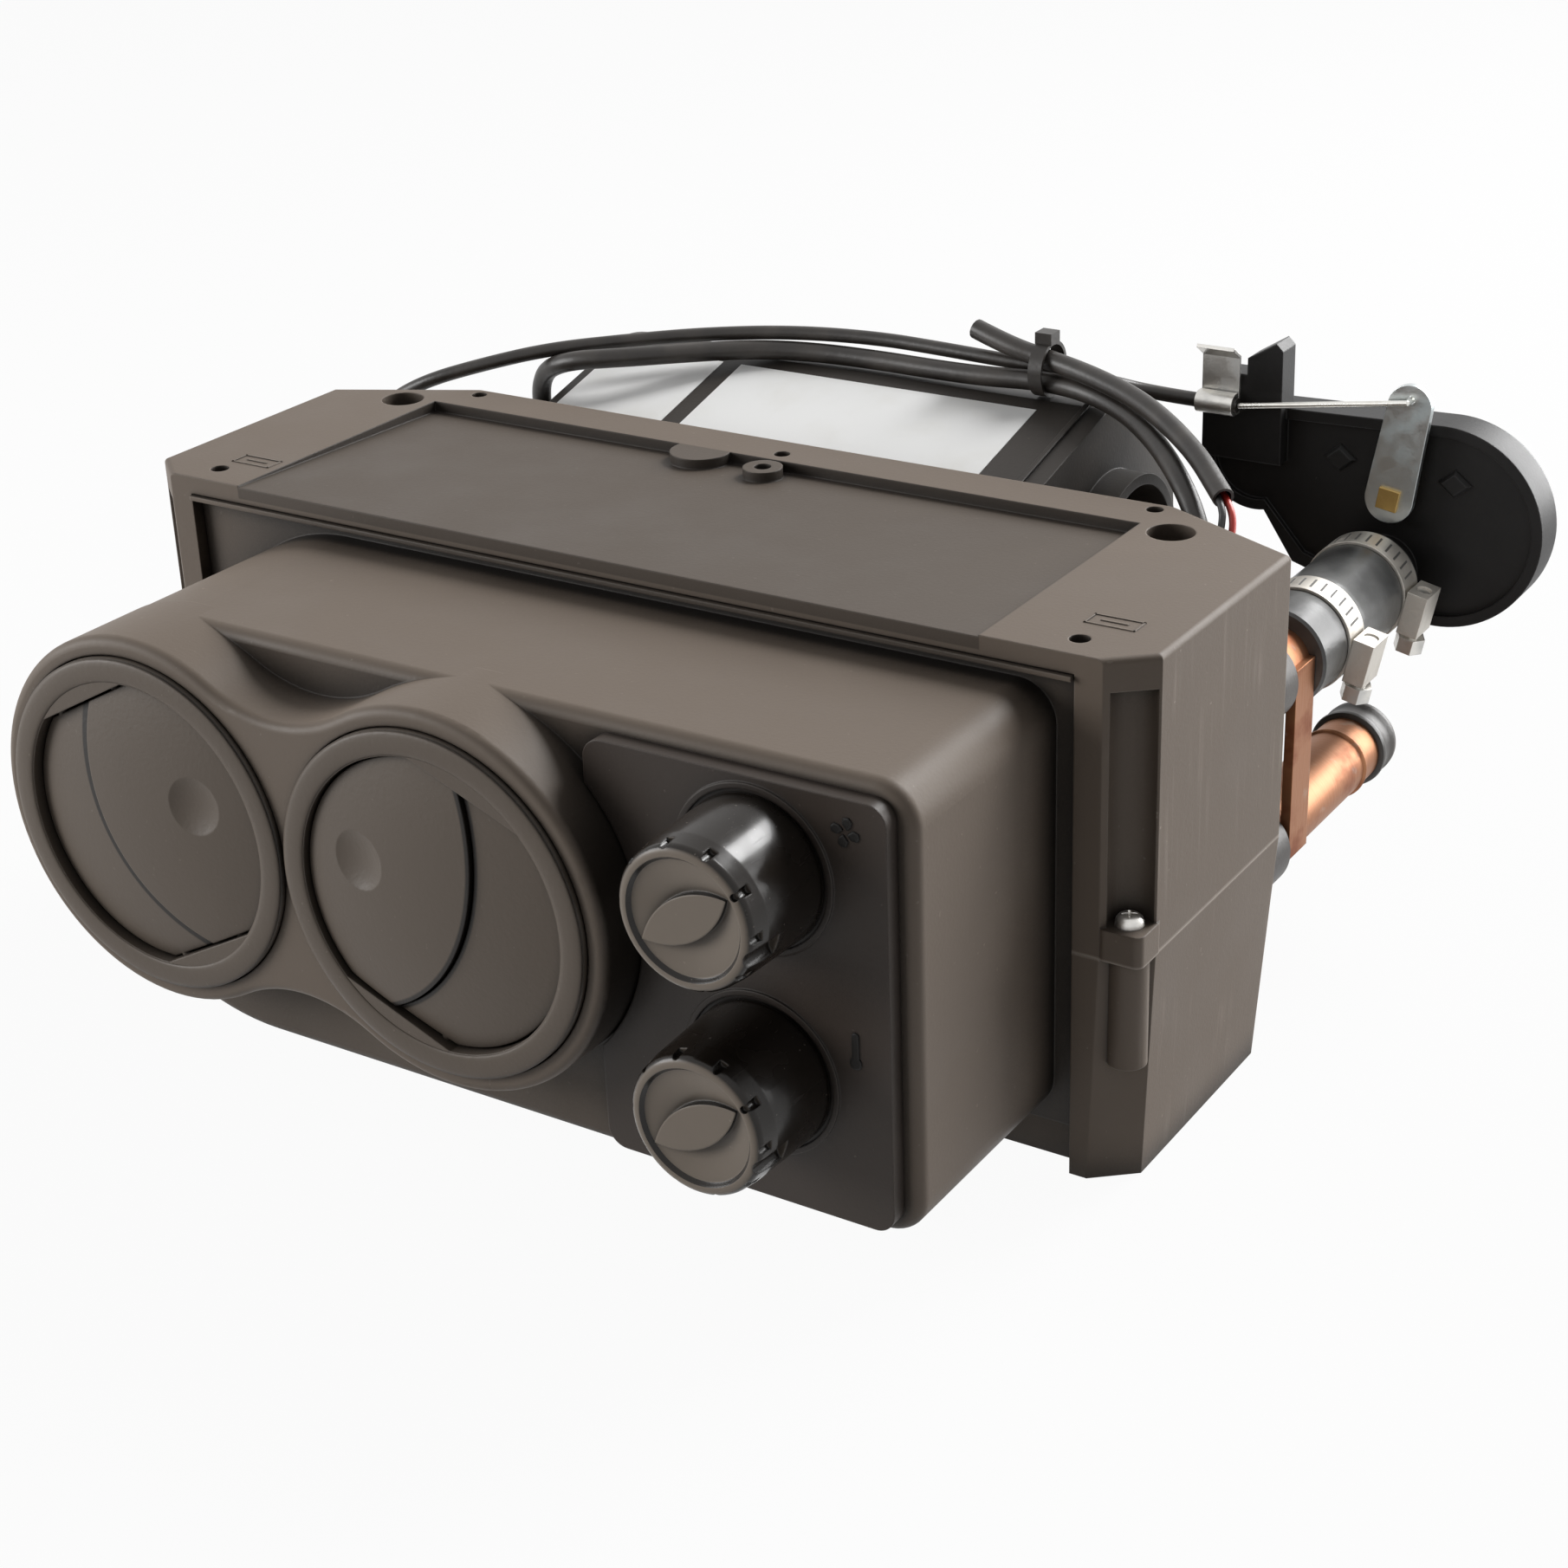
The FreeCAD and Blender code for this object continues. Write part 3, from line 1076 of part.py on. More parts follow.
def make_valve():
    """Coolant valve: body with a hose spigot and an outlet, cover plate, and the cable bracket."""
    body = new_body("valve_shell")
    pad(body, sketch(body, "xz", valve_back, valve_outline()), d.valve_depth)
    soften(body, 1.6, lies_at("Y", valve_back))
    pocket(body, sketch(body, "xz", d.valve_front, valve_outline(d.valve_rim)), d.valve_rim_height)
    upper = pipe_heights["upper"]
    spigot = rod("valve_spigot", d.pipe_radius, d.spigot_length, d.pipe_x,
                 d.valve_front - d.spigot_length + d.valve_rim_height,
                 upper, "y")
    outlet = rod("valve_outlet", d.pipe_radius + 0.2, d.outlet_length, d.pipe_x, valve_back, upper, "y")
    chamber = rod("valve_chamber", d.valve_radius - 8, 8, d.valve_x, valve_back, -d.valve_z, "y")
    tab_left, tab_top, seat = d.sheath_end_x + 1.2, d.sheath_z + 17.6, clip_back + d.clip_thickness
    tab = new_body("valve_tab")
    pad(tab, sketch(tab, "xz", d.valve_front + 5, [
        (d.clip_x, -d.valve_arm_z), (tab_left + 10.4, -d.valve_arm_z), (tab_left + 10, tab_top - 2),
        (tab_left + 8, tab_top),
        (tab_left, tab_top - 5), (tab_left, d.sheath_z + 8), (d.clip_x, d.sheath_z + 8)]),
        d.valve_front + 5 - seat)
    bore = rod("valve_bore", d.pipe_radius - 2, d.spigot_length + d.valve_depth + d.outlet_length, d.pipe_x,
               d.valve_front - d.spigot_length + d.valve_rim_height - 1, upper, "y")
    way = rod("valve_way", d.pipe_radius - 2, d.valve_depth + d.outlet_length + 2, d.pipe_x,
              d.valve_front + 2, upper, "y")
    shaft_hole = rod("valve_shaft_hole", d.shaft_radius + d.shaft_clearance, d.valve_depth - 3, d.lever_x,
                     d.valve_front - 1,
                     -d.lever_z, "y")
    collar = rod("valve_collar", d.pipe_radius + 3.2, 8, d.pipe_x, valve_back, upper, "y")
    solid = fuse("valve_solid", body, spigot, outlet, chamber, collar, tab)
    keep("valve_body", cut("valve_body", solid, bore, way, shaft_hole))


def make_lever():
    """Zinc lever on the valve's brass shaft, with the hole that takes the control wire."""
    reach, tip = d.lever_length, d.lever_tip
    body = new_body("lever_plate")
    root_radius = d.lever_root
    plate = [(-root_radius, 0, root_radius, 1), (0, -root_radius, root_radius, 1), (root_radius, 0),
             (tip, reach, tip, 1),
             (0, reach + tip, tip, 1), (-tip, reach)]
    pad(body, sketch(body, "xz", lever_front + d.lever_thickness, plate), d.lever_thickness)
    square = d.shaft_radius * 0.72
    pocket(body, sketch(body, "xz", lever_front, box_loop(-square, -square, square, square)),
           d.lever_thickness + 1)
    pocket(body, sketch(body, "xz", lever_front, circle(0, reach + 2, d.wire_radius + 0.3)),
           d.lever_thickness + 1)
    place(body, d.lever_x, 0, -d.lever_z, Y_AXIS, d.lever_turn)
    keep("valve_lever", body)
    end = d.valve_depth - 5
    round_shaft = rod("shaft_round", d.shaft_radius, d.lever_gap + end, 0, lever_front + d.lever_thickness,
                      0, "y")
    neck = block("shaft_neck", (-square, lever_front - 1.0, -square),
                 (square, lever_front + d.lever_thickness + 1, square))
    shaft = fuse("valve_shaft", round_shaft, neck)
    place(shaft, d.lever_x, 0, -d.lever_z, Y_AXIS, d.lever_turn)
    keep("valve_shaft", shaft)


def make_cable_end():
    """Spring clip that clamps the sheath to the valve, and the control wire from there to the lever."""
    body = new_body("cable_clip")
    y, z, back, front = d.sheath_y, d.sheath_z, clip_back + d.clip_thickness, clip_back
    inner, outer = clip_inner, clip_inner + d.clip_thickness
    lip = front - d.clip_lip
    clip = [(front, z - inner), (front, z + d.clip_height), (lip, z + d.clip_height + 3),
            (lip + 0.6, z + d.clip_height + 3.8),
            (back, z + d.clip_height + 0.6), (back, z - outer), (y, z - outer, outer, -1),
            (y - outer, z, outer, -1),
            (y, z + outer), (front - 0.6, z + outer), (front - 0.6, z + inner), (y, z + inner, inner, 1),
            (y - inner, z, inner, 1), (y, z - inner)]
    pad(body, sketch(body, "yz", d.clip_x, clip), d.clip_width)
    keep("cable_clip", body)
    angle = math.radians(d.lever_turn.number)
    reach = d.lever_length.number + 2
    hole = lever_axis + Vector(math.sin(angle) * reach, 0, math.cos(angle) * reach)
    start = Vector(d.sheath_end_x.number + 0.3, d.sheath_y.number, d.sheath_z.number)
    finish = Vector(hole.x, d.sheath_y.number - 0.9, hole.z)
    run = finish - start
    wire = Part.makeCylinder(d.wire_radius.number, run.Length, start, run)
    pin = Part.makeCylinder(d.wire_radius.number,
                            lever_front.number + d.lever_thickness.number + 1.2 - finish.y, finish, Y_AXIS)
    item = doc.addObject("Part::Feature", "control_wire")
    item.Shape = wire.fuse([pin, Part.makeSphere(d.wire_radius.number, finish)])
    keep("control_wire", item)


axis_y, axis_z = d.blower_axis_y, -d.blower_axis_z
blower_right = d.blower_left + d.blower_width


def inlet_arc(radius, inner, up):
    """Half ring round a blower inlet, above or below the split."""
    s = 1 if up else -1
    return [(axis_y + radius, axis_z, radius, s), (axis_y, axis_z + radius * s, radius, s),
            (axis_y - radius, axis_z),
            (axis_y - inner, axis_z, inner, -s), (axis_y, axis_z + inner * s, inner, -s),
            (axis_y + inner, axis_z)]


def make_blower_half(name, profile, up):
    """Half of the blower housing: a scroll shell with half of each air inlet."""
    body = new_body(name)
    pad(body, sketch(body, "yz", d.blower_left, profile), d.blower_width)
    shell(body, d.blower_wall, lambda face: lies_at("Y", back_y)(face) or lies_at("Z", axis_z)(face))
    lip = inlet_arc(d.inlet_radius + d.inlet_lip, d.inlet_radius, up)
    pad(body, sketch(body, "yz", d.blower_left + d.blower_wall, lip), d.inlet_lip_height + d.blower_wall,
        back=True)
    pad(body, sketch(body, "yz", blower_right - d.blower_wall, lip), d.inlet_lip_height + d.blower_wall)
    pocket(body, sketch(body, "yz", blower_right + d.inlet_lip_height,
                        circle(axis_y, axis_z, d.inlet_radius)),
           d.blower_width + d.inlet_lip_height * 2)
    return keep(name, body)


def make_blower():
    """Blower: housing halves, motor in its cradle, and two bladed wheels on the motor shaft."""
    top_y = axis_y
    upper = [(back_y, axis_z), (axis_y + d.scroll_upper, axis_z, d.scroll_upper, 1),
             (top_y, axis_z + d.scroll_upper), (back_y, -d.duct_top)]
    foot_y = axis_y + d.scroll_upper - d.scroll_lower
    lower = [(back_y, axis_z), (back_y, -d.duct_bottom),
             (foot_y, axis_z - d.scroll_lower, d.scroll_lower, 1), (axis_y + d.scroll_upper, axis_z)]
    make_blower_half("blower_upper", upper, True)
    make_blower_half("blower_lower", lower, False)
    middle = d.blower_left + d.blower_width * HALF
    wheel_x = {"left": d.blower_left + d.blower_wall + d.wheel_end_gap,
               "right": blower_right - d.blower_wall - d.wheel_end_gap - d.wheel_width}
    motor_left = wheel_x["left"] + d.wheel_width + d.motor_end_gap
    motor_length = wheel_x["right"] - d.motor_end_gap - motor_left
    can = rod("motor_can", d.motor_radius, motor_length, motor_left, axis_y, axis_z, "x")
    nose_starts = (motor_left - 4, motor_left + motor_length)
    noses = [rod(f"motor_nose_{n}", 8, 4, x, axis_y, axis_z, "x") for n, x in enumerate(nose_starts)]
    bore = rod("motor_bore", d.motor_shaft_radius + d.motor_shaft_clearance, motor_length + 10,
               motor_left - 5, axis_y, axis_z, "x")
    keep("blower_motor", cut("blower_motor", fuse("motor_solid", can, *noses), bore))
    shaft_start = wheel_x["left"] + 6
    keep("motor_shaft", rod("motor_shaft", d.motor_shaft_radius,
                            blower_right - d.blower_left - (shaft_start - d.blower_left) * 2,
                            shaft_start, axis_y, axis_z, "x"))
    for side, x in wheel_x.items():
        make_wheel(f"{side}_blower_wheel", x, side)
    half = d.cradle_width * HALF
    far_y = axis_y * 2 - foot_y
    inner, near_y = d.scroll_lower - d.blower_wall, foot_y + 2
    near_z = axis_z - root(inner * inner - 4)
    far_z = axis_z - root(inner * inner - (far_y - foot_y) * (far_y - foot_y))
    cradle = new_body("cradle_block")
    under = axis_z - d.motor_radius * 0.9
    seat = [(near_y, near_z, inner, 1), (far_y, far_z), (far_y, under), (near_y, under)]
    pad(cradle, sketch(cradle, "yz", middle - half, seat), d.cradle_width)
    room = rod("cradle_room", d.motor_radius, d.cradle_width + 2, middle - half - 1, axis_y, axis_z, "x")
    keep("motor_cradle", cut("motor_cradle", cradle, room))


BLADES = 26


def make_wheel(name, x, side):
    """One bladed blower wheel: a disc with a hub on the motor's side, leaning blades, and an end ring."""
    radius, width, thick, depth = d.wheel_radius, d.wheel_width, d.wheel_disc, d.blade_depth
    left = side == "left"
    body = new_body(name)
    disc, ring = (x + width - thick, x) if left else (x, x + width - thick)
    start = disc if left else disc + thick
    pad(body, sketch(body, "yz", disc, circle(0, 0, radius)), thick)
    pad(body, sketch(body, "yz", start, circle(0, 0, d.hub_radius)), d.hub_length, back=left)
    inner, outer, shift, half = radius - depth + 0.5, radius - 0.5, depth * 0.45, d.blade_thickness * HALF
    profile = [(inner, -half), (outer, shift - half), (outer, shift + half), (inner, half)]
    blade = pad(body, sketch(body, "yz", start, profile), width - thick * 1.5, back=left)
    polar(body, blade, "X_Axis", BLADES)
    pad(body, sketch(body, "yz", ring, circle(0, 0, radius), circle(0, 0, radius - depth)), thick)
    pocket(body, sketch(body, "yz", x + width, circle(0, 0, d.motor_shaft_radius)), width)
    place(body, 0, axis_y, axis_z)
    return keep(name, body)


CORNER_SHARE = 0.45
# Cord routes, from end to end
CABLE_ROUTE = [
    (-128, 3, -60), (-130, 19, -60), (-138, 32, -53), (-148, 35, -41), (-152.5, 29, -26),
    (-146.5, 22, -11.5), (-131, 22.5, -2.5), (-114, 29.5, 3), (-96.5, 38.5, 7.4), (-78.5, 49.5, 9.2),
    (-57, 61.5, 11), (-33, 70.8, 12.2), (-7, 74.8, 12.6), (14, 74.2, 12.4), (32, 73.6, 12),
    (51.5, 74.2, 11.5), (61.5, 80.5, 7.8), (74, 89.6, 3.2), (97, 89.6, 3.2)]
SLEEVE_ROUTE = [
    (-100, 12, -42), (-100, 28, -40), (-103.5, 41.5, -31.5), (-106, 45.5, -16), (-101.5, 40.5, -1),
    (-88.5, 35.5, 5.8), (-72.5, 40.8, 7.4), (-58.5, 52, 7.6), (-43, 64.5, 7.5), (-26, 69.8, 7.5),
    (-5, 71, 7.5), (14, 70, 7.6), (31, 69.4, 8), (47.5, 69.8, 9), (62, 68.2, 8.5), (77, 61, 7.2),
    (91, 49.8, 5), (104, 37, 1.2), (113.5, 28.5, -6), (119.5, 22, -16.5), (121, 9.8, -21.2)]
SHORT_ROUTE = [
    (26, 72.8, 20), (37, 70.4, 17.4), (48.5, 70.2, 15.2), (62.5, 66.2, 14.2), (77.5, 59.3, 13.1),
    (88.7, 52.9, 11.6), (99.3, 46, 9), (109.7, 37.8, 6), (118.6, 28.9, 2.6),
    (122.2, 25.3, 1.2)]
RED_ROUTE = [
    (116.8, 32.1, 3.3), (124.65, 24.25, 0.25), (127.2, 21, -5), (127.3, 14.8, -12), (125.4, 7.5, -16.5)]
BLACK_ROUTE = [
    (115.4, 30.7, 3.3), (123.25, 22.85, 0.75), (124.6, 19.4, -5), (124.6, 13.6, -12.5), (122.8, 6.5, -17.5)]


def cord_path(route):
    """Straight runs between points, joined by arcs that touch both; gives the path and its least radius."""
    spots = [Vector(*point) for point in route]
    edges, radii, start = [], [], spots[0]
    for before, corner, after in zip(spots, spots[1:], spots[2:]):
        reach = CORNER_SHARE * min((before - corner).Length, (after - corner).Length)
        back, ahead = (before - corner).normalize(), (after - corner).normalize()
        half_turn = (math.pi - back.getAngle(ahead)) / 2
        radius = reach / math.tan(half_turn)
        middle = corner + (back + ahead).normalize() * (radius / math.cos(half_turn) - radius)
        edges.append(Part.makeLine(start, corner + back * reach))
        edges.append(Part.Arc(corner + back * reach, middle, corner + ahead * reach).toShape())
        start = corner + ahead * reach
        radii.append(radius)
    edges.append(Part.makeLine(start, spots[-1]))
    return Part.Wire(edges), min(radii)


def cord(name, radius, route):
    """A round cord along a route; prints how tight it bends and how full it is."""
    path, least = cord_path(route)
    ring = Part.Wire(Part.makeCircle(radius.number, Vector(*route[0]),
                                     Vector(*route[1]) - Vector(*route[0])))
    item = doc.addObject("Part::Feature", name)
    item.Shape = path.makePipeShell([ring], True, False)
    full = item.Shape.Volume / (math.pi * radius.number ** 2 * path.Length)
    bend = least / (2 * radius.number)
    print(f"{name}: least bend {bend:.1f} diameters, volume {full:.3f} of section by length")
    return item


def cord_grommet(name, *cords):
    """Rubber bush in the case wall, bored for the cords that pass it."""
    x, z, radius = cord_entries[name]
    outside = back_y if name == "sleeve" else chamfer_y(x, 1 if x > 0 else -1)
    start = outside - d.case_wall * HALF - d.grommet_length * HALF
    bush = rod(f"{name}_bush", radius, d.grommet_length, x, start, z, "y")
    return cut(f"{name}_grommet", bush, *cords)


def make_cords():
    """Control cable, wiring sleeves and leads, their grommets, and the tie that bundles them."""
    cable = keep("control_cable", cord("control_cable", d.sheath_radius, CABLE_ROUTE))
    sleeve = keep("wiring_sleeve", cord("wiring_sleeve", d.sleeve_radius, SLEEVE_ROUTE))
    short = cord("short_sleeve_outside", d.sleeve_radius, SHORT_ROUTE)
    keep("short_sleeve", cut("short_sleeve", short,
                             cord("short_sleeve_inside", d.sleeve_bore, SHORT_ROUTE)))
    red, black = cord("red_lead", d.lead_radius, RED_ROUTE), cord("black_lead", d.lead_radius, BLACK_ROUTE)
    keep("red_lead", red)
    keep("black_lead", black)
    bushes = [cord_grommet("cable", cable), cord_grommet("sleeve", sleeve),
              cord_grommet("harness", sleeve, red, black)]
    keep("cable_grommets", group("cable_grommets", *bushes))
    x, y, z = 46.8, 71.2, 12.3
    outer = d.tie_radius + d.tie_thickness
    strap = tube("tie_strap", outer, d.tie_radius, d.tie_width, x, y, z, "x")
    head = block("tie_head", (x - 0.5, y - 2.5, z + d.tie_radius + 0.3),
                 (x + d.tie_width + 0.5, y + 2.5, z + outer + 2.6))
    keep("cable_tie", fuse("cable_tie", strap, head))


def make_case():
    """Case halves, plenum, panel and their fasteners."""
    make_upper_case()
    make_lower_case()
    make_case_screws()
    make_plenum()
    make_panel()


def make_vents():
    """Both vents: a ring and two flaps each."""
    for side, x, turn in (("left", d.vent_left, d.left_turn), ("right", d.vent_right, d.right_turn)):
        make_vent_ring(side, x, turn)
        for kind in pivots:
            make_flap(side, kind, x, turn)


def check_and_write():
    """Stops if anything failed to build, then writes one file for each sub-part."""
    doc.recompute()
    failed = [item.Label for item in doc.Objects if {"Invalid", "Error"} & set(item.State)]
    broken = [label for label, item in parts.items() if item.Shape.isNull() or not item.Shape.isValid()]
    if failed or broken:
        raise RuntimeError(f"failed: {failed}, broken: {broken}")
    os.makedirs("parts", exist_ok=True)
    for label, item in parts.items():
        item.Shape.exportStep(f"parts/{label}.step")


make_case()
make_vents()
make_controls()
make_core()
make_pipework()
make_valve()
make_lever()
make_cable_end()
make_blower()
make_cords()
check_and_write()
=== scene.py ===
"""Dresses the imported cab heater: finishes on its solids, cords, hose, labels, small marks and a plain studio."""
from __future__ import annotations

import logging
import math
from collections.abc import Iterable, Sequence
from dataclasses import dataclass, replace
from enum import Enum
from typing import Any

import bmesh
import bpy
from mathutils import Matrix, Vector

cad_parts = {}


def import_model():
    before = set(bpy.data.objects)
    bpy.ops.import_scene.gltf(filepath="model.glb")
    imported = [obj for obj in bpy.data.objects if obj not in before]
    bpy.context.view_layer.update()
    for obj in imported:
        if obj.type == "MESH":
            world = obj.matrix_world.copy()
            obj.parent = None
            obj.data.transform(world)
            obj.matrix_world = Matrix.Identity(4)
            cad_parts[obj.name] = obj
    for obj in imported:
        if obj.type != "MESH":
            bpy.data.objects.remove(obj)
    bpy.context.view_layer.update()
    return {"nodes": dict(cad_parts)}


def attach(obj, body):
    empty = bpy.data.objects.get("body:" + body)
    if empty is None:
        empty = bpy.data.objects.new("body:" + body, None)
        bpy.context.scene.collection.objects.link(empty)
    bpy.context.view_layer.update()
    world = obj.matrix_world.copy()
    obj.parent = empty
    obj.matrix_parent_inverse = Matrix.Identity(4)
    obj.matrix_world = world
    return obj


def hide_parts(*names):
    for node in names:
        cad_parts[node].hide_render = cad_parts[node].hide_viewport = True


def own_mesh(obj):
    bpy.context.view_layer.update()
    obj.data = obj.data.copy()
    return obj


Colour = tuple[float, float, float]
Spot = tuple[float, float, float]
Flat = tuple[float, float]

LOG = logging.getLogger("cab_heater")
MM = 0.001
QUARTER = math.pi / 2
WHITE: Colour = (1.0, 1.0, 1.0)
DARK: Colour = (0.0, 0.0, 0.0)
# Painted shade: the near-black colour that gaps, inner corners and the flaps' parting line are drawn towards.
PAINTED_SHADE: Colour = (0.004, 0.003, 0.0025)
CORNER_SHADE_LEVELS: Flat = (0.07, 0.6)
NODE_SAMPLES = 6


class Value:
    """A shader socket that takes part in Python expressions."""

    def __init__(self, graph: Graph, socket: bpy.types.NodeSocket) -> None:
        """Keeps the socket and the graph that it belongs to."""
        self.graph = graph
        self.socket = socket

    def __add__(self, other: Value | float) -> Value:
        """Adds."""
        return self.graph.math("ADD", self, other)

    def __radd__(self, other: float) -> Value:
        """Adds to a number."""
        return self.graph.math("ADD", other, self)

    def __sub__(self, other: Value | float) -> Value:
        """Subtracts."""
        return self.graph.math("SUBTRACT", self, other)

    def __rsub__(self, other: float) -> Value:
        """Subtracts from a number."""
        return self.graph.math("SUBTRACT", other, self)

    def __mul__(self, other: Value | float) -> Value:
        """Multiplies."""
        return self.graph.math("MULTIPLY", self, other)

    def __rmul__(self, other: float) -> Value:
        """Multiplies a number."""
        return self.graph.math("MULTIPLY", other, self)

    def __abs__(self) -> Value:
        """Takes the size without its sign."""
        return self.graph.math("ABSOLUTE", self, 0.0)


class Graph:
    """The shader nodes of a material or of the world."""

    def __init__(self, tree: bpy.types.NodeTree) -> None:
        """Empties a node tree to build in."""
        self.tree = tree
        self.tree.nodes.clear()

    def feed(self, socket: bpy.types.NodeSocket, value: Any) -> None:
        """Links or sets one input.

        Args:
            socket: The input.
            value: A Value to link, or a number, a vector or a colour to set.
        """
        if isinstance(value, Value):
            self.tree.links.new(value.socket, socket)
        elif socket.type == "RGBA" and len(value) == 3:
            socket.default_value = (*value, 1.0)
        else:
            socket.default_value = value

    def node(self, kind: str, settings: dict[str, Any] | None = None,
             inputs: dict[str | int, Any] | None = None, output: str | int = 0) -> Value:
        """Adds a node.

        Args:
            kind: The node's type.
            settings: Its properties, set first.
            inputs: Values or links of its sockets.
            output: The output to hand on.

        Returns:
            That output.
        """
        item = self.tree.nodes.new(kind)
        for key, value in (settings or {}).items():
            setattr(item, key, value)
        for key, value in (inputs or {}).items():
            self.feed(item.inputs[key], value)
        return Value(self, item.outputs[output])

    def math(self, operation: str, first: Value | float, second: Value | float) -> Value:
        """Adds a Math node that works on two values."""
        return self.node("ShaderNodeMath", {"operation": operation}, {0: first, 1: second})

    def place(self) -> Value:
        """Gives the place on the piece, in metres."""
        return self.node("ShaderNodeTexCoord", output="Object")

    def axis(self, name: str) -> Value:
        """Gives one coordinate of the place on the piece."""
        return self.node("ShaderNodeSeparateXYZ", None, {0: self.place()}, name)

    def noise(self, size: float, detail: float, stretch: Spot = (1.0, 1.0, 1.0)) -> Value:
        """Adds clouds from 0 to 1 of a size in metres, with finer layers, and denser along each axis by stretch."""
        scaled = self.node("ShaderNodeMapping", None, {"Vector": self.place(), "Scale": stretch})
        return self.node("ShaderNodeTexNoise", None, {"Vector": scaled, "Scale": 1.0 / size, "Detail": detail})

    def cells(self, size: float) -> Value:
        """Gives a patchwork of cells of a width in metres, each with its own shade from 0 to 1."""
        tint = self.node("ShaderNodeTexVoronoi", None, {"Vector": self.place(), "Scale": 1.0 / size}, "Color")
        return self.node("ShaderNodeSeparateColor", None, {0: tint})

    def between(self, value: Value, low: float, high: float) -> Value:
        """Fades a value from 0 at one level to 1 at another."""
        return self.node("ShaderNodeMapRange", {"interpolation_type": "SMOOTHSTEP"},
                         {"Value": value, "From Min": low, "From Max": high})

    def mix(self, factor: Value | float, first: Any, second: Any) -> Value:
        """Mixes two colours by a factor, which is the share of the second."""
        return self.node("ShaderNodeMix", {"data_type": "RGBA"}, {0: factor, 6: first, 7: second}, 2)

    def eased(self, radius: float) -> Value:
        """Gives normals that turn smoothly over sharp edges of a radius in metres."""
        return self.node("ShaderNodeBevel", {"samples": NODE_SAMPLES}, {"Radius": radius})

    def edges(self, eased: Value) -> Value:
        """Picks out the edges where eased normals leave the surface's own."""
        true = self.node("ShaderNodeNewGeometry", output="True Normal")
        return 1.0 - self.node("ShaderNodeVectorMath", {"operation": "DOT_PRODUCT"}, {0: eased, 1: true}, "Value")

    def facing(self, axis: str) -> Value:
        """Gives how much the surface faces along one axis of the piece, from -1 to 1."""
        normal = self.node("ShaderNodeTexCoord", output="Normal")
        return self.node("ShaderNodeSeparateXYZ", None, {0: normal}, axis)

    def corners(self, reach: float) -> Value:
        """Picks out gaps and inner corners for painted shade, from a reach in metres."""
        clear = self.node("ShaderNodeAmbientOcclusion", {"samples": NODE_SAMPLES}, {"Distance": reach}, "AO")
        return self.between(1.0 - clear, *CORNER_SHADE_LEVELS)

    def bump(self, height: Value, depth: float, normal: Value | None = None) -> Value:
        """Turns heights into normals.

        Args:
            height: The heights, from 0 to 1.
            depth: What 1 stands for, in metres.
            normal: Normals to start from.

        Returns:
            The normals.
        """
        inputs: dict[str | int, Any] = {"Height": height, "Distance": depth}
        if normal is not None:
            inputs["Normal"] = normal
        return self.node("ShaderNodeBump", None, inputs)

    def end(self, kind: str, shader: Value) -> None:
        """Hands a shader to the tree's output, a node of one kind."""
        self.feed(self.tree.nodes.new(kind).inputs["Surface"], shader)


class Surface(Graph):
    """The nodes of one material, with a principled shader."""

    def __init__(self, name: str) -> None:
        """Starts a material.

        Args:
            name: The material's name.
        """
        self.material = bpy.data.materials.new(name)
        self.material.use_nodes = True
        super().__init__(self.material.node_tree)

    def principled(self, **inputs: Any) -> Value:
        """Adds the shader, with underscores for the spaces in the names of its inputs."""
        return self.node("ShaderNodeBsdfPrincipled", None,
                         {key.replace("_", " "): value for key, value in inputs.items()})

    def finish(self, **inputs: Any) -> bpy.types.Material:
        """Adds the shader, hands it to the output and gives the material; the inputs are those of principled."""
        self.end("ShaderNodeOutputMaterial", self.principled(**inputs))
        return self.material


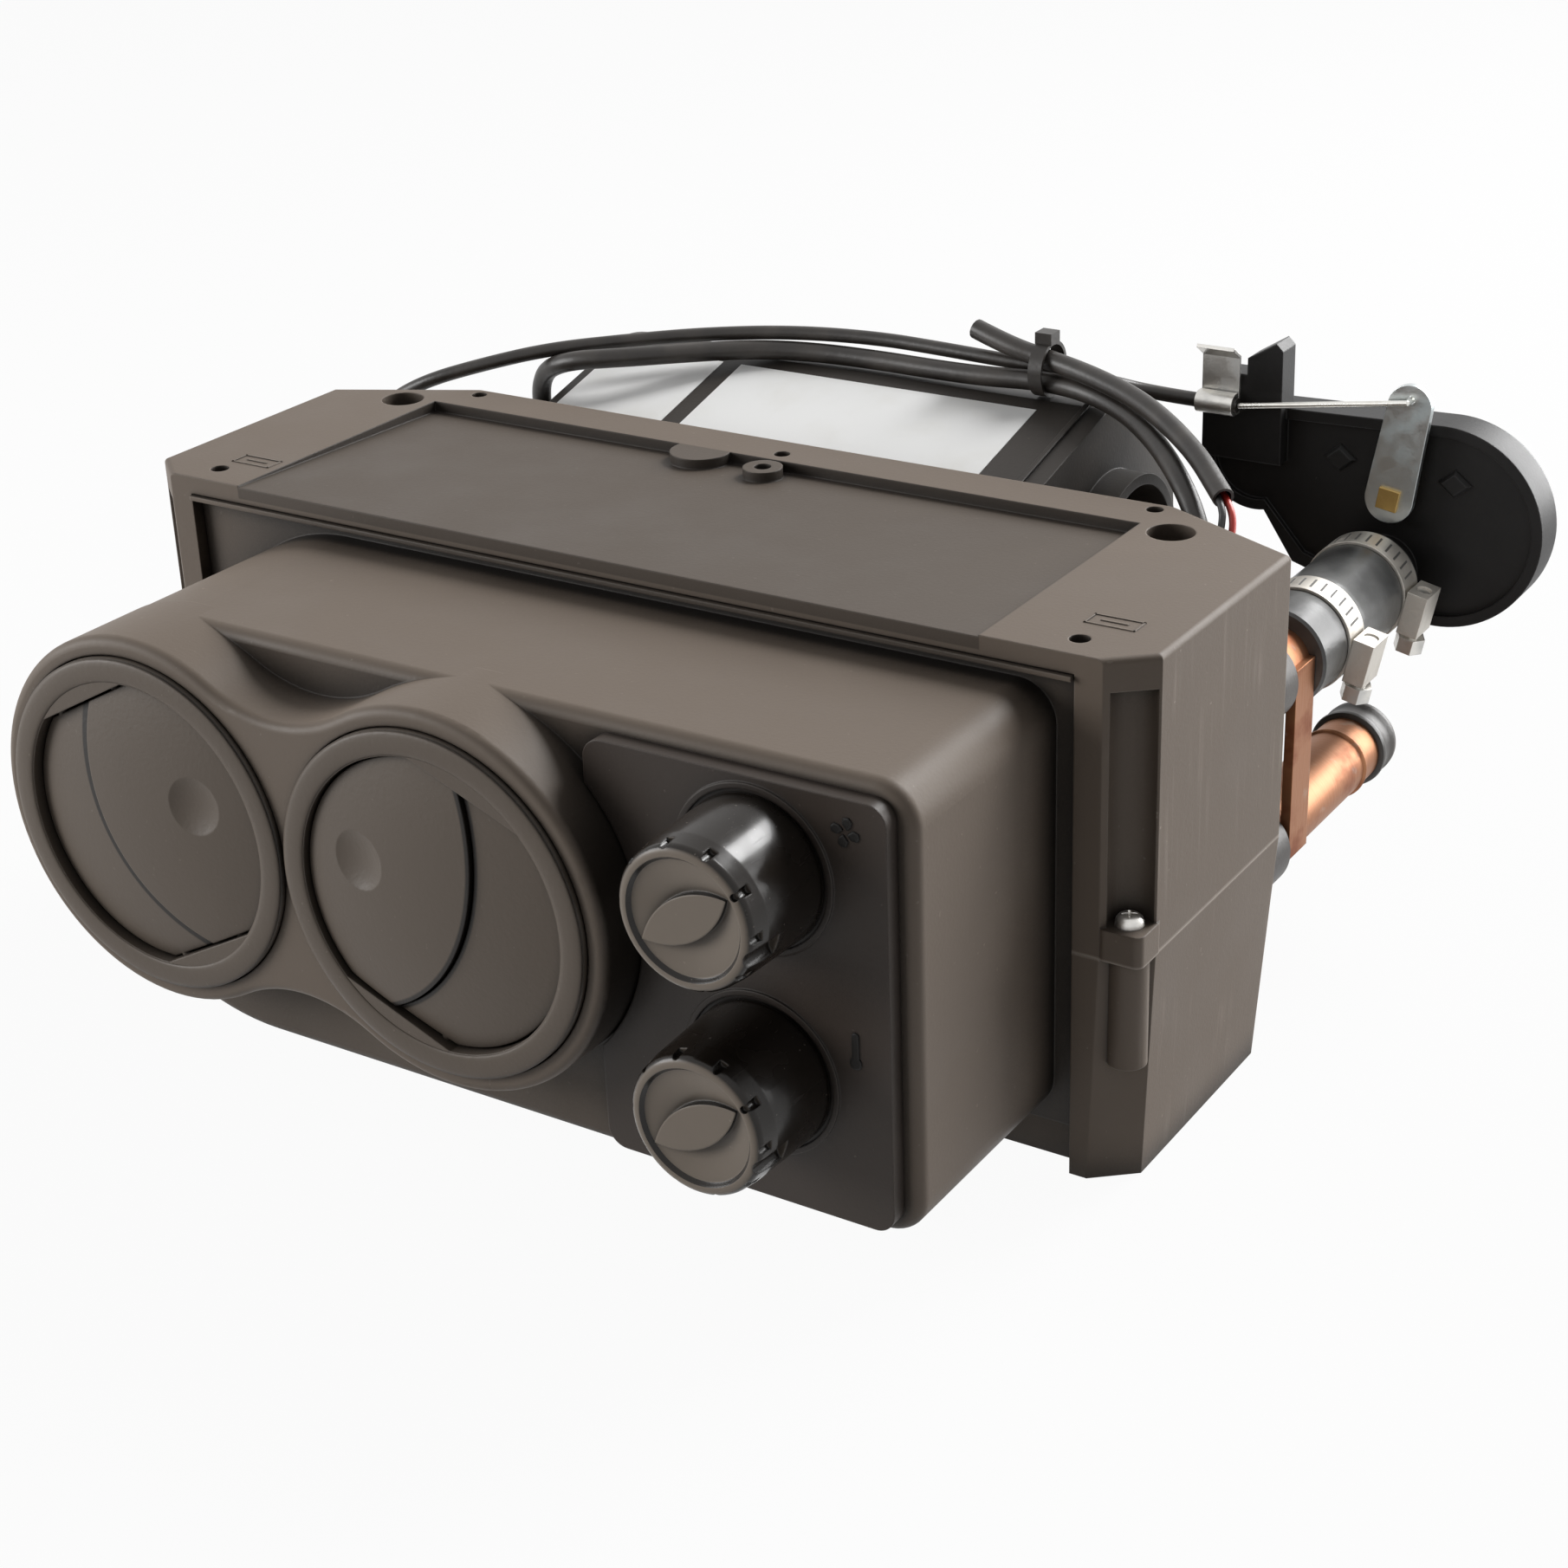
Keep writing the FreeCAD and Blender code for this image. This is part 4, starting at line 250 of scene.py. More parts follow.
@dataclass(frozen=True)
class MouldedPlastic:
    """Grained black plastic, with dust, cloudy sheen, pale edges, painted shade in its gaps and inner corners and,
    where given, a painted shadow along a parting line.

    Lengths are in metres. Two levels tell where a pattern begins to show and where it is full. A share tells how much
    of the pattern shows in the colour.
    """

    name: str
    colour: Colour
    pale: Colour
    roughness: float = 0.5
    grain: float = 0.0009
    depth: float = 0.00004
    drag_marks: float = 0.0
    seam_height: float | None = None
    recess: tuple[Flat, Flat, float] | None = None
    parting: tuple[Flat, float] | None = None
    corner_shade: float = 0.85
    reach: float = 0.012
    wear: float = 0.9
    sheen: float = 0.3
    edge: float = 0.0006
    cloud: float = 0.035
    cloud_levels: Flat = (0.45, 0.75)
    cloud_share: float = 0.12
    gloss_levels: Flat = (0.2, 0.8)
    gloss_range: float = 0.14
    grain_gloss: float = 0.06
    dust: float = 0.0016
    dust_levels: Flat = (0.74, 0.8)
    dust_share: float = 0.25
    side_levels: Flat = (0.6, 0.9)
    streak: float = 0.0026
    streak_levels: Flat = (0.48, 0.75)
    streak_stretch: Spot = (1.0, 1.0, 0.05)
    patch: float = 0.03
    patch_levels: Flat = (0.4, 0.65)
    seam_levels: Flat = (0.0002, 0.0009)
    seam_share: float = 0.45
    recess_edge: float = 0.0005
    recess_rise: float = 0.0004
    recess_share: float = 0.46
    parting_levels: Flat = (0.0009, 0.0016)
    parting_share: float = 0.92

    def material(self) -> bpy.types.Material:
        """Builds the material.

        Returns:
            The material.
        """
        graph = Surface(self.name)
        eased = graph.eased(self.edge)
        cloud = graph.noise(self.cloud, detail=4.0)
        grain = graph.noise(self.grain, detail=2.0)
        dust = graph.between(graph.noise(self.dust, detail=1.0), *self.dust_levels)
        worn = graph.edges(eased) * self.wear + dust * self.dust_share
        worn = worn + graph.between(cloud, *self.cloud_levels) * self.cloud_share
        if self.drag_marks:
            worn = worn + self.drags(graph) * self.drag_marks
        if self.seam_height is not None:
            off = abs(graph.axis("Z") - self.seam_height)
            worn = worn + (1.0 - graph.between(off, *self.seam_levels)) * self.seam_share
        tone: Value = graph.mix(graph.between(worn, 0.0, 1.0), self.colour, self.pale)
        if self.recess is not None:
            tone = graph.mix(self.inside(graph) * self.recess_share, tone, DARK)
        if self.parting is not None:
            # Painted shadow: a dark line along the flaps' parting line, where their gap would show dark.
            tone = graph.mix(self.gap(graph) * self.parting_share, tone, PAINTED_SHADE)
        gloss = graph.between(cloud, *self.gloss_levels) * self.gloss_range
        return graph.finish(
            # Painted shade: gaps and inner corners within the reach are darkened towards near-black.
            Base_Color=graph.mix(graph.corners(self.reach) * self.corner_shade, tone, PAINTED_SHADE),
            Roughness=gloss + (self.roughness - self.gloss_range / 2) + grain * self.grain_gloss,
            Specular_IOR_Level=self.sheen,
            Normal=graph.bump(grain, self.depth, eased),
        )

    def drags(self, graph: Graph) -> Value:
        """Picks out the marks that the mould leaves down the ends as the piece is drawn out.

        Args:
            graph: The nodes to add to.

        Returns:
            The marks, from 0 to 1.
        """
        side = graph.between(abs(graph.facing("X")), *self.side_levels)
        streak = graph.between(graph.noise(self.streak, detail=3.0, stretch=self.streak_stretch), *self.streak_levels)
        patch = graph.between(graph.noise(self.patch, detail=2.0), *self.patch_levels)
        return side * streak * patch

    def inside(self, graph: Graph) -> Value:
        """Picks out the floor of the recess in the top, which is drawn darker.

        Args:
            graph: The nodes to add to.

        Returns:
            1 in the recess and 0 elsewhere.
        """
        (left, right), (front, back), lowest = self.recess
        x, y, z = (graph.axis(name) for name in "XYZ")
        soft = self.recess_edge
        across = graph.between(x, left - soft, left) * (1.0 - graph.between(x, right, right + soft))
        along = graph.between(y, front - soft, front) * (1.0 - graph.between(y, back, back + soft))
        return across * along * graph.between(z, lowest - self.recess_rise, lowest)

    def gap(self, graph: Graph) -> Value:
        """Picks out the painted shadow along the bowed parting line of two flaps.

        Args:
            graph: The nodes to add to.

        Returns:
            1 on the line and 0 away from it.
        """
        (across, up), radius = self.parting
        x, z = graph.axis("X") - across, graph.axis("Z") - up
        off = abs(graph.math("POWER", x * x + z * z, 0.5) - radius)
        return 1.0 - graph.between(off, *self.parting_levels)


@dataclass(frozen=True)
class PolishedPlastic:
    """Shiny black plastic, with fine scratches, finger marks and dust, a duller face drawn in a lighter colour as
    painted sheen, and painted shade in its inner corners.

    Lengths are in metres. Two levels tell where a pattern begins to show and where it is full.
    """

    name: str
    colour: Colour
    face: Colour
    roughness: float
    edge: float = 0.0007
    smear: float = 0.012
    smear_levels: Flat = (0.4, 0.7)
    smear_gloss: float = 0.1
    smear_depth: float = 0.00012
    scratch: float = 0.0012
    scratch_levels: Flat = (0.62, 0.7)
    scratch_stretch: Spot = (1.0, 0.12, 1.0)
    scratch_gloss: float = 0.05
    dust: float = 0.0011
    dust_levels: Flat = (0.75, 0.8)
    dust_colour: Colour = (0.5, 0.44, 0.38)
    dust_share: float = 0.2
    face_levels: Flat = (0.7, 0.97)
    face_gloss: float = 0.16
    reach: float = 0.006
    corner_shade: float = 0.7
    corner_shade_colour: Colour = (0.003, 0.0025, 0.002)
    sheen: float = 0.27
    coat: float = 0.08
    coat_roughness: float = 0.1

    def material(self) -> bpy.types.Material:
        """Builds the material.

        Returns:
            The material.
        """
        graph = Surface(self.name)
        smear = graph.noise(self.smear, detail=3.0)
        scratch = graph.noise(self.scratch, detail=2.0, stretch=self.scratch_stretch)
        scratch = graph.between(scratch, *self.scratch_levels)
        dust = graph.between(graph.noise(self.dust, detail=1.0), *self.dust_levels)
        front = graph.between(0.0 - graph.facing("Y"), *self.face_levels)
        # The face is drawn in its lighter colour: painted sheen.
        tone = graph.mix(dust * self.dust_share, graph.mix(front, self.colour, self.face), self.dust_colour)
        gloss = graph.between(smear, *self.smear_levels) * self.smear_gloss + self.roughness
        return graph.finish(
            # Painted shade: inner corners, such as round the knob's foot, are darkened.
            Base_Color=graph.mix(graph.corners(self.reach) * self.corner_shade, tone, self.corner_shade_colour),
            Roughness=gloss + scratch * self.scratch_gloss + front * self.face_gloss,
            Specular_IOR_Level=self.sheen,
            Coat_Weight=self.coat,
            Coat_Roughness=self.coat_roughness,
            Normal=graph.bump(smear, self.smear_depth, graph.eased(self.edge)),
        )


@dataclass(frozen=True)
class SoftRubber:
    """Rubber or soft plastic, with a bloom on it; lengths are in metres."""

    name: str
    colour: Colour
    bloom: Colour
    roughness: float
    grain: float = 0.0012
    depth: float = 0.00005
    cloud: float = 0.014
    bloom_levels: Flat = (0.4, 0.75)
    bloom_share: float = 0.6
    gloss_range: float = 0.2

    def material(self) -> bpy.types.Material:
        """Builds the material.

        Returns:
            The material.
        """
        graph = Surface(self.name)
        cloud = graph.noise(self.cloud, detail=4.0)
        bloom = graph.between(cloud, *self.bloom_levels) * self.bloom_share
        return graph.finish(
            Base_Color=graph.mix(bloom, self.colour, self.bloom),
            Roughness=cloud * self.gloss_range + (self.roughness - self.gloss_range / 2),
            Normal=graph.bump(graph.noise(self.grain, detail=2.0), self.depth),
        )


@dataclass(frozen=True)
class Plating:
    """Bare or plated metal, with a spangle, a tint that wanders and a dull film; lengths are in metres."""

    name: str
    colour: Colour
    tint: Colour
    roughness: float
    edge: float = 0.0003
    spangle: float = 0.0025
    spangle_share: float = 0.2
    spangle_gloss: float = 0.06
    film: float = 0.009
    film_levels: Flat = (0.45, 0.7)
    film_share: float = 0.7
    film_gloss: float = 0.15
    brush: float = 0.0006
    brush_depth: float = 0.00003
    brush_gloss: float = 0.1

    def material(self) -> bpy.types.Material:
        """Builds the material.

        Returns:
            The material.
        """
        graph = Surface(self.name)
        cell = graph.cells(self.spangle)
        film = graph.between(graph.noise(self.film, detail=3.0), *self.film_levels)
        brush = graph.noise(self.brush, detail=2.0)
        gloss = film * self.film_gloss + cell * self.spangle_gloss + brush * self.brush_gloss
        return graph.finish(
            Base_Color=graph.mix(film * self.film_share + cell * self.spangle_share, self.colour, self.tint),
            Metallic=1.0,
            Roughness=gloss + (self.roughness - self.brush_gloss),
            Normal=graph.bump(brush, self.brush_depth, graph.eased(self.edge)),
        )


@dataclass(frozen=True)
class AgedCopper:
    """Drawn copper tube, bright and pink in places, with brown heat stains and pale flux; lengths are in metres."""

    name: str
    bright: Colour = (0.35, 0.165, 0.086)
    stained: Colour = (0.17, 0.05, 0.026)
    fluxed: Colour = (0.4, 0.3, 0.24)
    roughness: float = 0.46
    edge: float = 0.0003
    stain: float = 0.012
    stain_levels: Flat = (0.45, 0.68)
    stain_stretch: Spot = (1.0, 0.7, 1.0)
    stain_share: float = 0.75
    stain_gloss: float = 0.15
    rings: float = 0.0009
    ring_stretch: Spot = (0.2, 1.0, 0.2)
    ring_share: float = 0.12
    ring_depth: float = 0.00006
    flux: float = 0.007
    flux_levels: Flat = (0.6, 0.72)
    flux_share: float = 0.6
    flux_gloss: float = 0.2
    flux_cover: float = 0.5

    def material(self) -> bpy.types.Material:
        """Builds the material.

        Returns:
            The material.
        """
        graph = Surface(self.name)
        stain = graph.noise(self.stain, detail=4.0, stretch=self.stain_stretch)
        stain = graph.between(stain, *self.stain_levels)
        rings = graph.noise(self.rings, detail=2.0, stretch=self.ring_stretch)
        flux = graph.between(graph.noise(self.flux, detail=5.0), *self.flux_levels)
        tone = graph.mix(stain * self.stain_share + rings * self.ring_share, self.bright, self.stained)
        return graph.finish(
            Base_Color=graph.mix(flux * self.flux_share, tone, self.fluxed),
            Metallic=1.0 - flux * self.flux_cover,
            Roughness=stain * self.stain_gloss + flux * self.flux_gloss + self.roughness,
            Normal=graph.bump(rings, self.ring_depth, graph.eased(self.edge)),
        )


@dataclass(frozen=True)
class LabelPaper:
    """Coated white paper, with a faint tooth and a little yellowing; lengths are in metres."""

    name: str
    colour: Colour = (0.88, 0.88, 0.87)
    aged: Colour = (0.79, 0.78, 0.74)
    roughness: float = 0.3
    cloud: float = 0.02
    aged_levels: Flat = (0.45, 0.8)
    aged_share: float = 0.6
    tooth: float = 0.0006
    tooth_depth: float = 0.00002
    tooth_gloss: float = 0.15

    def material(self) -> bpy.types.Material:
        """Builds the material.

        Returns:
            The material.
        """
        graph = Surface(self.name)
        aged = graph.between(graph.noise(self.cloud, detail=4.0), *self.aged_levels)
        tooth = graph.noise(self.tooth, detail=3.0)
        return graph.finish(
            Base_Color=graph.mix(aged * self.aged_share, self.colour, self.aged),
            Roughness=self.roughness + tooth * self.tooth_gloss,
            Normal=graph.bump(tooth, self.tooth_depth),
        )


VENT_PLASTIC = MouldedPlastic("vent_plastic", (0.12, 0.096, 0.076), (0.3, 0.26, 0.22), 0.42, 0.0011, 0.00006,
                              reach=0.005, wear=0.1)
FLAP_PLASTIC = replace(VENT_PLASTIC, name="flap_plastic", corner_shade=0.6, reach=0.004)


class Finish(Enum):
    """The finishes of the heater's pieces."""

    CASE = MouldedPlastic("case_plastic", (0.142, 0.112, 0.088), (0.44, 0.385, 0.335), 0.52, drag_marks=0.26,
                          seam_height=-0.074, recess=((-0.1104, 0.1104), (-0.08, 0.0025), -0.0033))
    # The plenum's painted shade is strong and reaches 30 mm into its corners.
    FRONT = MouldedPlastic("front_plastic", (0.155, 0.123, 0.097), (0.4, 0.345, 0.295), 0.5, corner_shade=0.95, reach=0.03)
    VENT = VENT_PLASTIC
    # Each vent's flaps carry a painted shadow along their parting line.
    LEFT_FLAPS = replace(FLAP_PLASTIC, name="left_flap_plastic", parting=((-0.0444, -0.0399), 0.0503))
    RIGHT_FLAPS = replace(FLAP_PLASTIC, name="right_flap_plastic", parting=((-0.024, -0.0435), 0.0489))
    # The panel's dark colour is partly its own darker plastic and partly painted shade.
    PANEL = MouldedPlastic("panel_plastic", (0.044, 0.033, 0.0265), (0.24, 0.2, 0.17), 0.42, 0.0007, 0.00003)
    BLOWER = MouldedPlastic("blower_plastic", (0.03, 0.025, 0.021), (0.14, 0.12, 0.1), 0.48)
    VALVE = MouldedPlastic("valve_plastic", (0.011, 0.0105, 0.0105), (0.1, 0.095, 0.09), 0.42, 0.0008, 0.00003)
    INNER = MouldedPlastic("control_plastic", (0.03, 0.03, 0.03), (0.1, 0.1, 0.1), 0.5)
    # The knobs' lighter face colour is painted sheen.
    KNOB = PolishedPlastic("knob_plastic", (0.02, 0.0155, 0.0122), (0.21, 0.174, 0.14), 0.2)
    ZINC = Plating("zinc_plate", (0.74, 0.72, 0.68), (0.5, 0.5, 0.49), 0.38)
    BAND = Plating("band_steel", (0.62, 0.59, 0.54), (0.48, 0.45, 0.41), 0.5)
    LEVER = Plating("lever_plate", (0.6, 0.63, 0.63), (0.4, 0.45, 0.46), 0.34)
    STEEL = Plating("plain_steel", (0.55, 0.55, 0.54), (0.4, 0.4, 0.4), 0.36)
    WIRE = Plating("wire_steel", (0.78, 0.77, 0.73), (0.6, 0.58, 0.54), 0.28)
    BRASS = Plating("turned_brass", (0.55, 0.37, 0.13), (0.36, 0.23, 0.08), 0.4)
    CORE = Plating("core_aluminium", (0.75, 0.75, 0.76), (0.6, 0.6, 0.6), 0.4)
    COPPER = AgedCopper("aged_copper")
    HOSE = SoftRubber("hose_rubber", (0.085, 0.085, 0.084), (0.22, 0.222, 0.216), 0.33)
    CAP = SoftRubber("cap_rubber", (0.036, 0.031, 0.028), (0.11, 0.098, 0.088), 0.44)
    JACKET = SoftRubber("jacket_plastic", (0.021, 0.0175, 0.015), (0.07, 0.06, 0.052), 0.4, 0.0022, 0.00008)
    FOAM = SoftRubber("seal_foam", (0.04, 0.04, 0.04), (0.07, 0.07, 0.07), 0.9, 0.0015, 0.0004)
    RED = SoftRubber("red_insulation", (0.5, 0.03, 0.02), (0.62, 0.08, 0.06), 0.35)
    BLACK = SoftRubber("black_insulation", (0.015, 0.015, 0.015), (0.04, 0.04, 0.04), 0.35)
    PAPER = LabelPaper("label_paper")
    SLOT = SoftRubber("slot_shadow", (0.16, 0.155, 0.15), (0.3, 0.29, 0.28), 0.6)
    MARK = PolishedPlastic("mark_plastic", (0.008, 0.0074, 0.007), (0.009, 0.008, 0.0072), 0.3)


class Palette:
    """Builds each finish once."""

    def __init__(self) -> None:
        """Starts with nothing built."""
        self.built: dict[Finish, bpy.types.Material] = {}

    def get(self, finish: Finish) -> bpy.types.Material:
        """Gives a finish's material.

        Args:
            finish: The finish.

        Returns:
            Its material, built at the first call.
        """
        if finish not in self.built:
            self.built[finish] = finish.value.material()
        return self.built[finish]


def bake(name: str, mesh: bmesh.types.BMesh) -> bpy.types.Mesh:
    """Turns a mesh in the making into mesh data.

    Args:
        name: The data's name.
        mesh: The mesh, which is freed.

    Returns:
        The data.
    """
    data = bpy.data.meshes.new(name)
    mesh.to_mesh(data)
    mesh.free()
    return data


def join(parts: Iterable[bmesh.types.BMesh]) -> bmesh.types.BMesh:
    """Joins meshes in the making into one.

    Args:
        parts: The meshes, which are freed.

    Returns:
        The whole.
    """
    whole = bmesh.new()
    for part in parts:
        whole.from_mesh(bake("part", part))
    return whole


def show(name: str, data: bpy.types.ID) -> bpy.types.Object:
    """Puts a new object into the scene.

    Args:
        name: The object's name.
        data: Its mesh, curve, lamp or camera.

    Returns:
        The object.
    """
    item = bpy.data.objects.new(name, data)
    bpy.context.scene.collection.objects.link(item)
    return item


def settle(item: bpy.types.Object) -> bpy.types.Mesh:
    """Turns an object with modifiers or a curve into plain mesh data.

    Args:
        item: The object, which is removed.

    Returns:
        Its evaluated mesh.
    """
    graph = bpy.context.evaluated_depsgraph_get()
    data = bpy.data.meshes.new_from_object(item.evaluated_get(graph), depsgraph=graph)
    bpy.data.objects.remove(item)
    return data


def facing_front(x: float, y: float, z: float) -> Matrix:
    """Gives the placement of a drawing that faces the front, at a place in millimetres."""
    return Matrix.Translation(Vector((x, y, z)) * MM) @ Matrix.Rotation(QUARTER, 4, "X")


def rectangle(left: float, low: float, right: float, high: float) -> list[Flat]:
    """Draws a rectangle, anticlockwise."""
    return [(left, low), (right, low), (right, high), (left, high)]


def arc(radius: float, height: float, start: float, sweep: float, steps: int) -> list[Flat]:
    """Draws part of a circle with its middle at a height, from a start through a sweep, both in degrees."""
    turns = [math.radians(start + step * sweep / steps) for step in range(steps + 1)]
    return [(radius * math.cos(turn), height + radius * math.sin(turn)) for turn in turns]


class Scatter:
    """A node tree that sets copies of one shape on points or round a circle."""

    def __init__(self, ringed: bool) -> None:
        """Builds the tree.

        Args:
            ringed: Whether the copies stand round a circle about Z, or on the points of the mesh.
        """
        self.tree = bpy.data.node_groups.new("ring_scatter" if ringed else "point_scatter", "GeometryNodeTree")
        self.sockets: dict[str, str] = {}
        inputs = {"Shape": "NodeSocketObject", "Finish": "NodeSocketMaterial"}
        if ringed:
            inputs |= {"Count": "NodeSocketInt", "Radius": "NodeSocketFloat"}
        else:
            inputs |= {"Seed": "NodeSocketInt"}
        self.tree.interface.new_socket("Geometry", in_out="INPUT", socket_type="NodeSocketGeometry")
        for name, kind in inputs.items():
            self.sockets[name] = self.tree.interface.new_socket(name, in_out="INPUT", socket_type=kind).identifier
        self.tree.interface.new_socket("Geometry", in_out="OUTPUT", socket_type="NodeSocketGeometry")
        self.wire(ringed)

    def add(self, kind: str, **settings: Any) -> bpy.types.Node:
        """Adds a node to the tree.

        Args:
            kind: The node's type.
            settings: Its properties.

        Returns:
            The node.
        """
        item = self.tree.nodes.new(kind)
        for key, value in settings.items():
            setattr(item, key, value)
        return item

    def link(self, source: bpy.types.Node, output: str | int, target: bpy.types.Node, entry: str | int) -> None:
        """Links an output of one node to an input of another."""
        self.tree.links.new(source.outputs[output], target.inputs[entry])

    def wire(self, ringed: bool) -> None:
        """Adds the nodes and their links.

        Args:
            ringed: Whether the copies stand round a circle.
        """
        start, end = self.add("NodeGroupInput"), self.add("NodeGroupOutput")
        shape = self.add("GeometryNodeObjectInfo")
        copies = self.add("GeometryNodeInstanceOnPoints")
        real = self.add("GeometryNodeRealizeInstances")
        coat = self.add("GeometryNodeSetMaterial")
        self.link(start, "Shape", shape, "Object")
        self.link(shape, "Geometry", copies, "Instance")
        if ringed:
            self.wire_ring(start, copies)
        else:
            self.wire_points(start, copies)
        self.link(copies, "Instances", real, "Geometry")
        self.link(real, "Geometry", coat, "Geometry")
        self.link(start, "Finish", coat, "Material")
        self.link(coat, "Geometry", end, "Geometry")

    def wire_ring(self, start: bpy.types.Node, copies: bpy.types.Node) -> None:
        """Stands the copies round a circle, each turned to face outwards.

        Args:
            start: The node that hands in the tree's inputs.
            copies: The node that makes the copies.
        """
        ring = self.add("GeometryNodeMeshCircle")
        step = self.add("ShaderNodeMath", operation="DIVIDE")
        step.inputs[0].default_value = 2 * math.pi
        turn = self.add("ShaderNodeMath", operation="MULTIPLY")
        angles = self.add("ShaderNodeCombineXYZ")
        index = self.add("GeometryNodeInputIndex")
        self.link(start, "Count", ring, "Vertices")
        self.link(start, "Radius", ring, "Radius")
        self.link(start, "Count", step, 1)
        self.link(step, 0, turn, 0)
        self.link(index, 0, turn, 1)
        self.link(turn, 0, angles, "Z")
        self.link(ring, "Mesh", copies, "Points")
        self.link(angles, 0, copies, "Rotation")

    def wire_points(self, start: bpy.types.Node, copies: bpy.types.Node) -> None:
        """Stands the copies on the mesh's points, each turned by chance about Z.

        Args:
            start: The node that hands in the tree's inputs.
            copies: The node that makes the copies.
        """
        chance = self.add("FunctionNodeRandomValue", data_type="FLOAT_VECTOR")
        chance.inputs["Max"].default_value = (0.0, 0.0, math.pi)
        self.link(start, "Seed", chance, "Seed")
        self.link(start, "Geometry", copies, "Points")
        self.link(chance, "Value", copies, "Rotation")

    def run(self, shape: bmesh.types.BMesh, points: Sequence[Spot], **values: Any) -> bpy.types.Mesh:
        """Sets the copies.

        Args:
            shape: The shape to copy, in metres about its own origin, which is freed.
            points: The points to stand on, in metres; one point at the origin where the tree makes a ring.
            values: The tree's other inputs by name.

        Returns:
            The plain mesh of all copies.
        """
        original = show("scatter_shape", bake("scatter_shape", shape))
        spots = bpy.data.meshes.new("scatter_spots")
        spots.from_pydata([tuple(point) for point in points], [], [])
        carrier = show("scatter_spots", spots)
        modifier = carrier.modifiers.new("scatter", "NODES")
        modifier.node_group = self.tree
        for name, value in {"Shape": original, **values}.items():
            modifier[self.sockets[name]] = value
        result = settle(carrier)
        bpy.data.objects.remove(original)
        return result


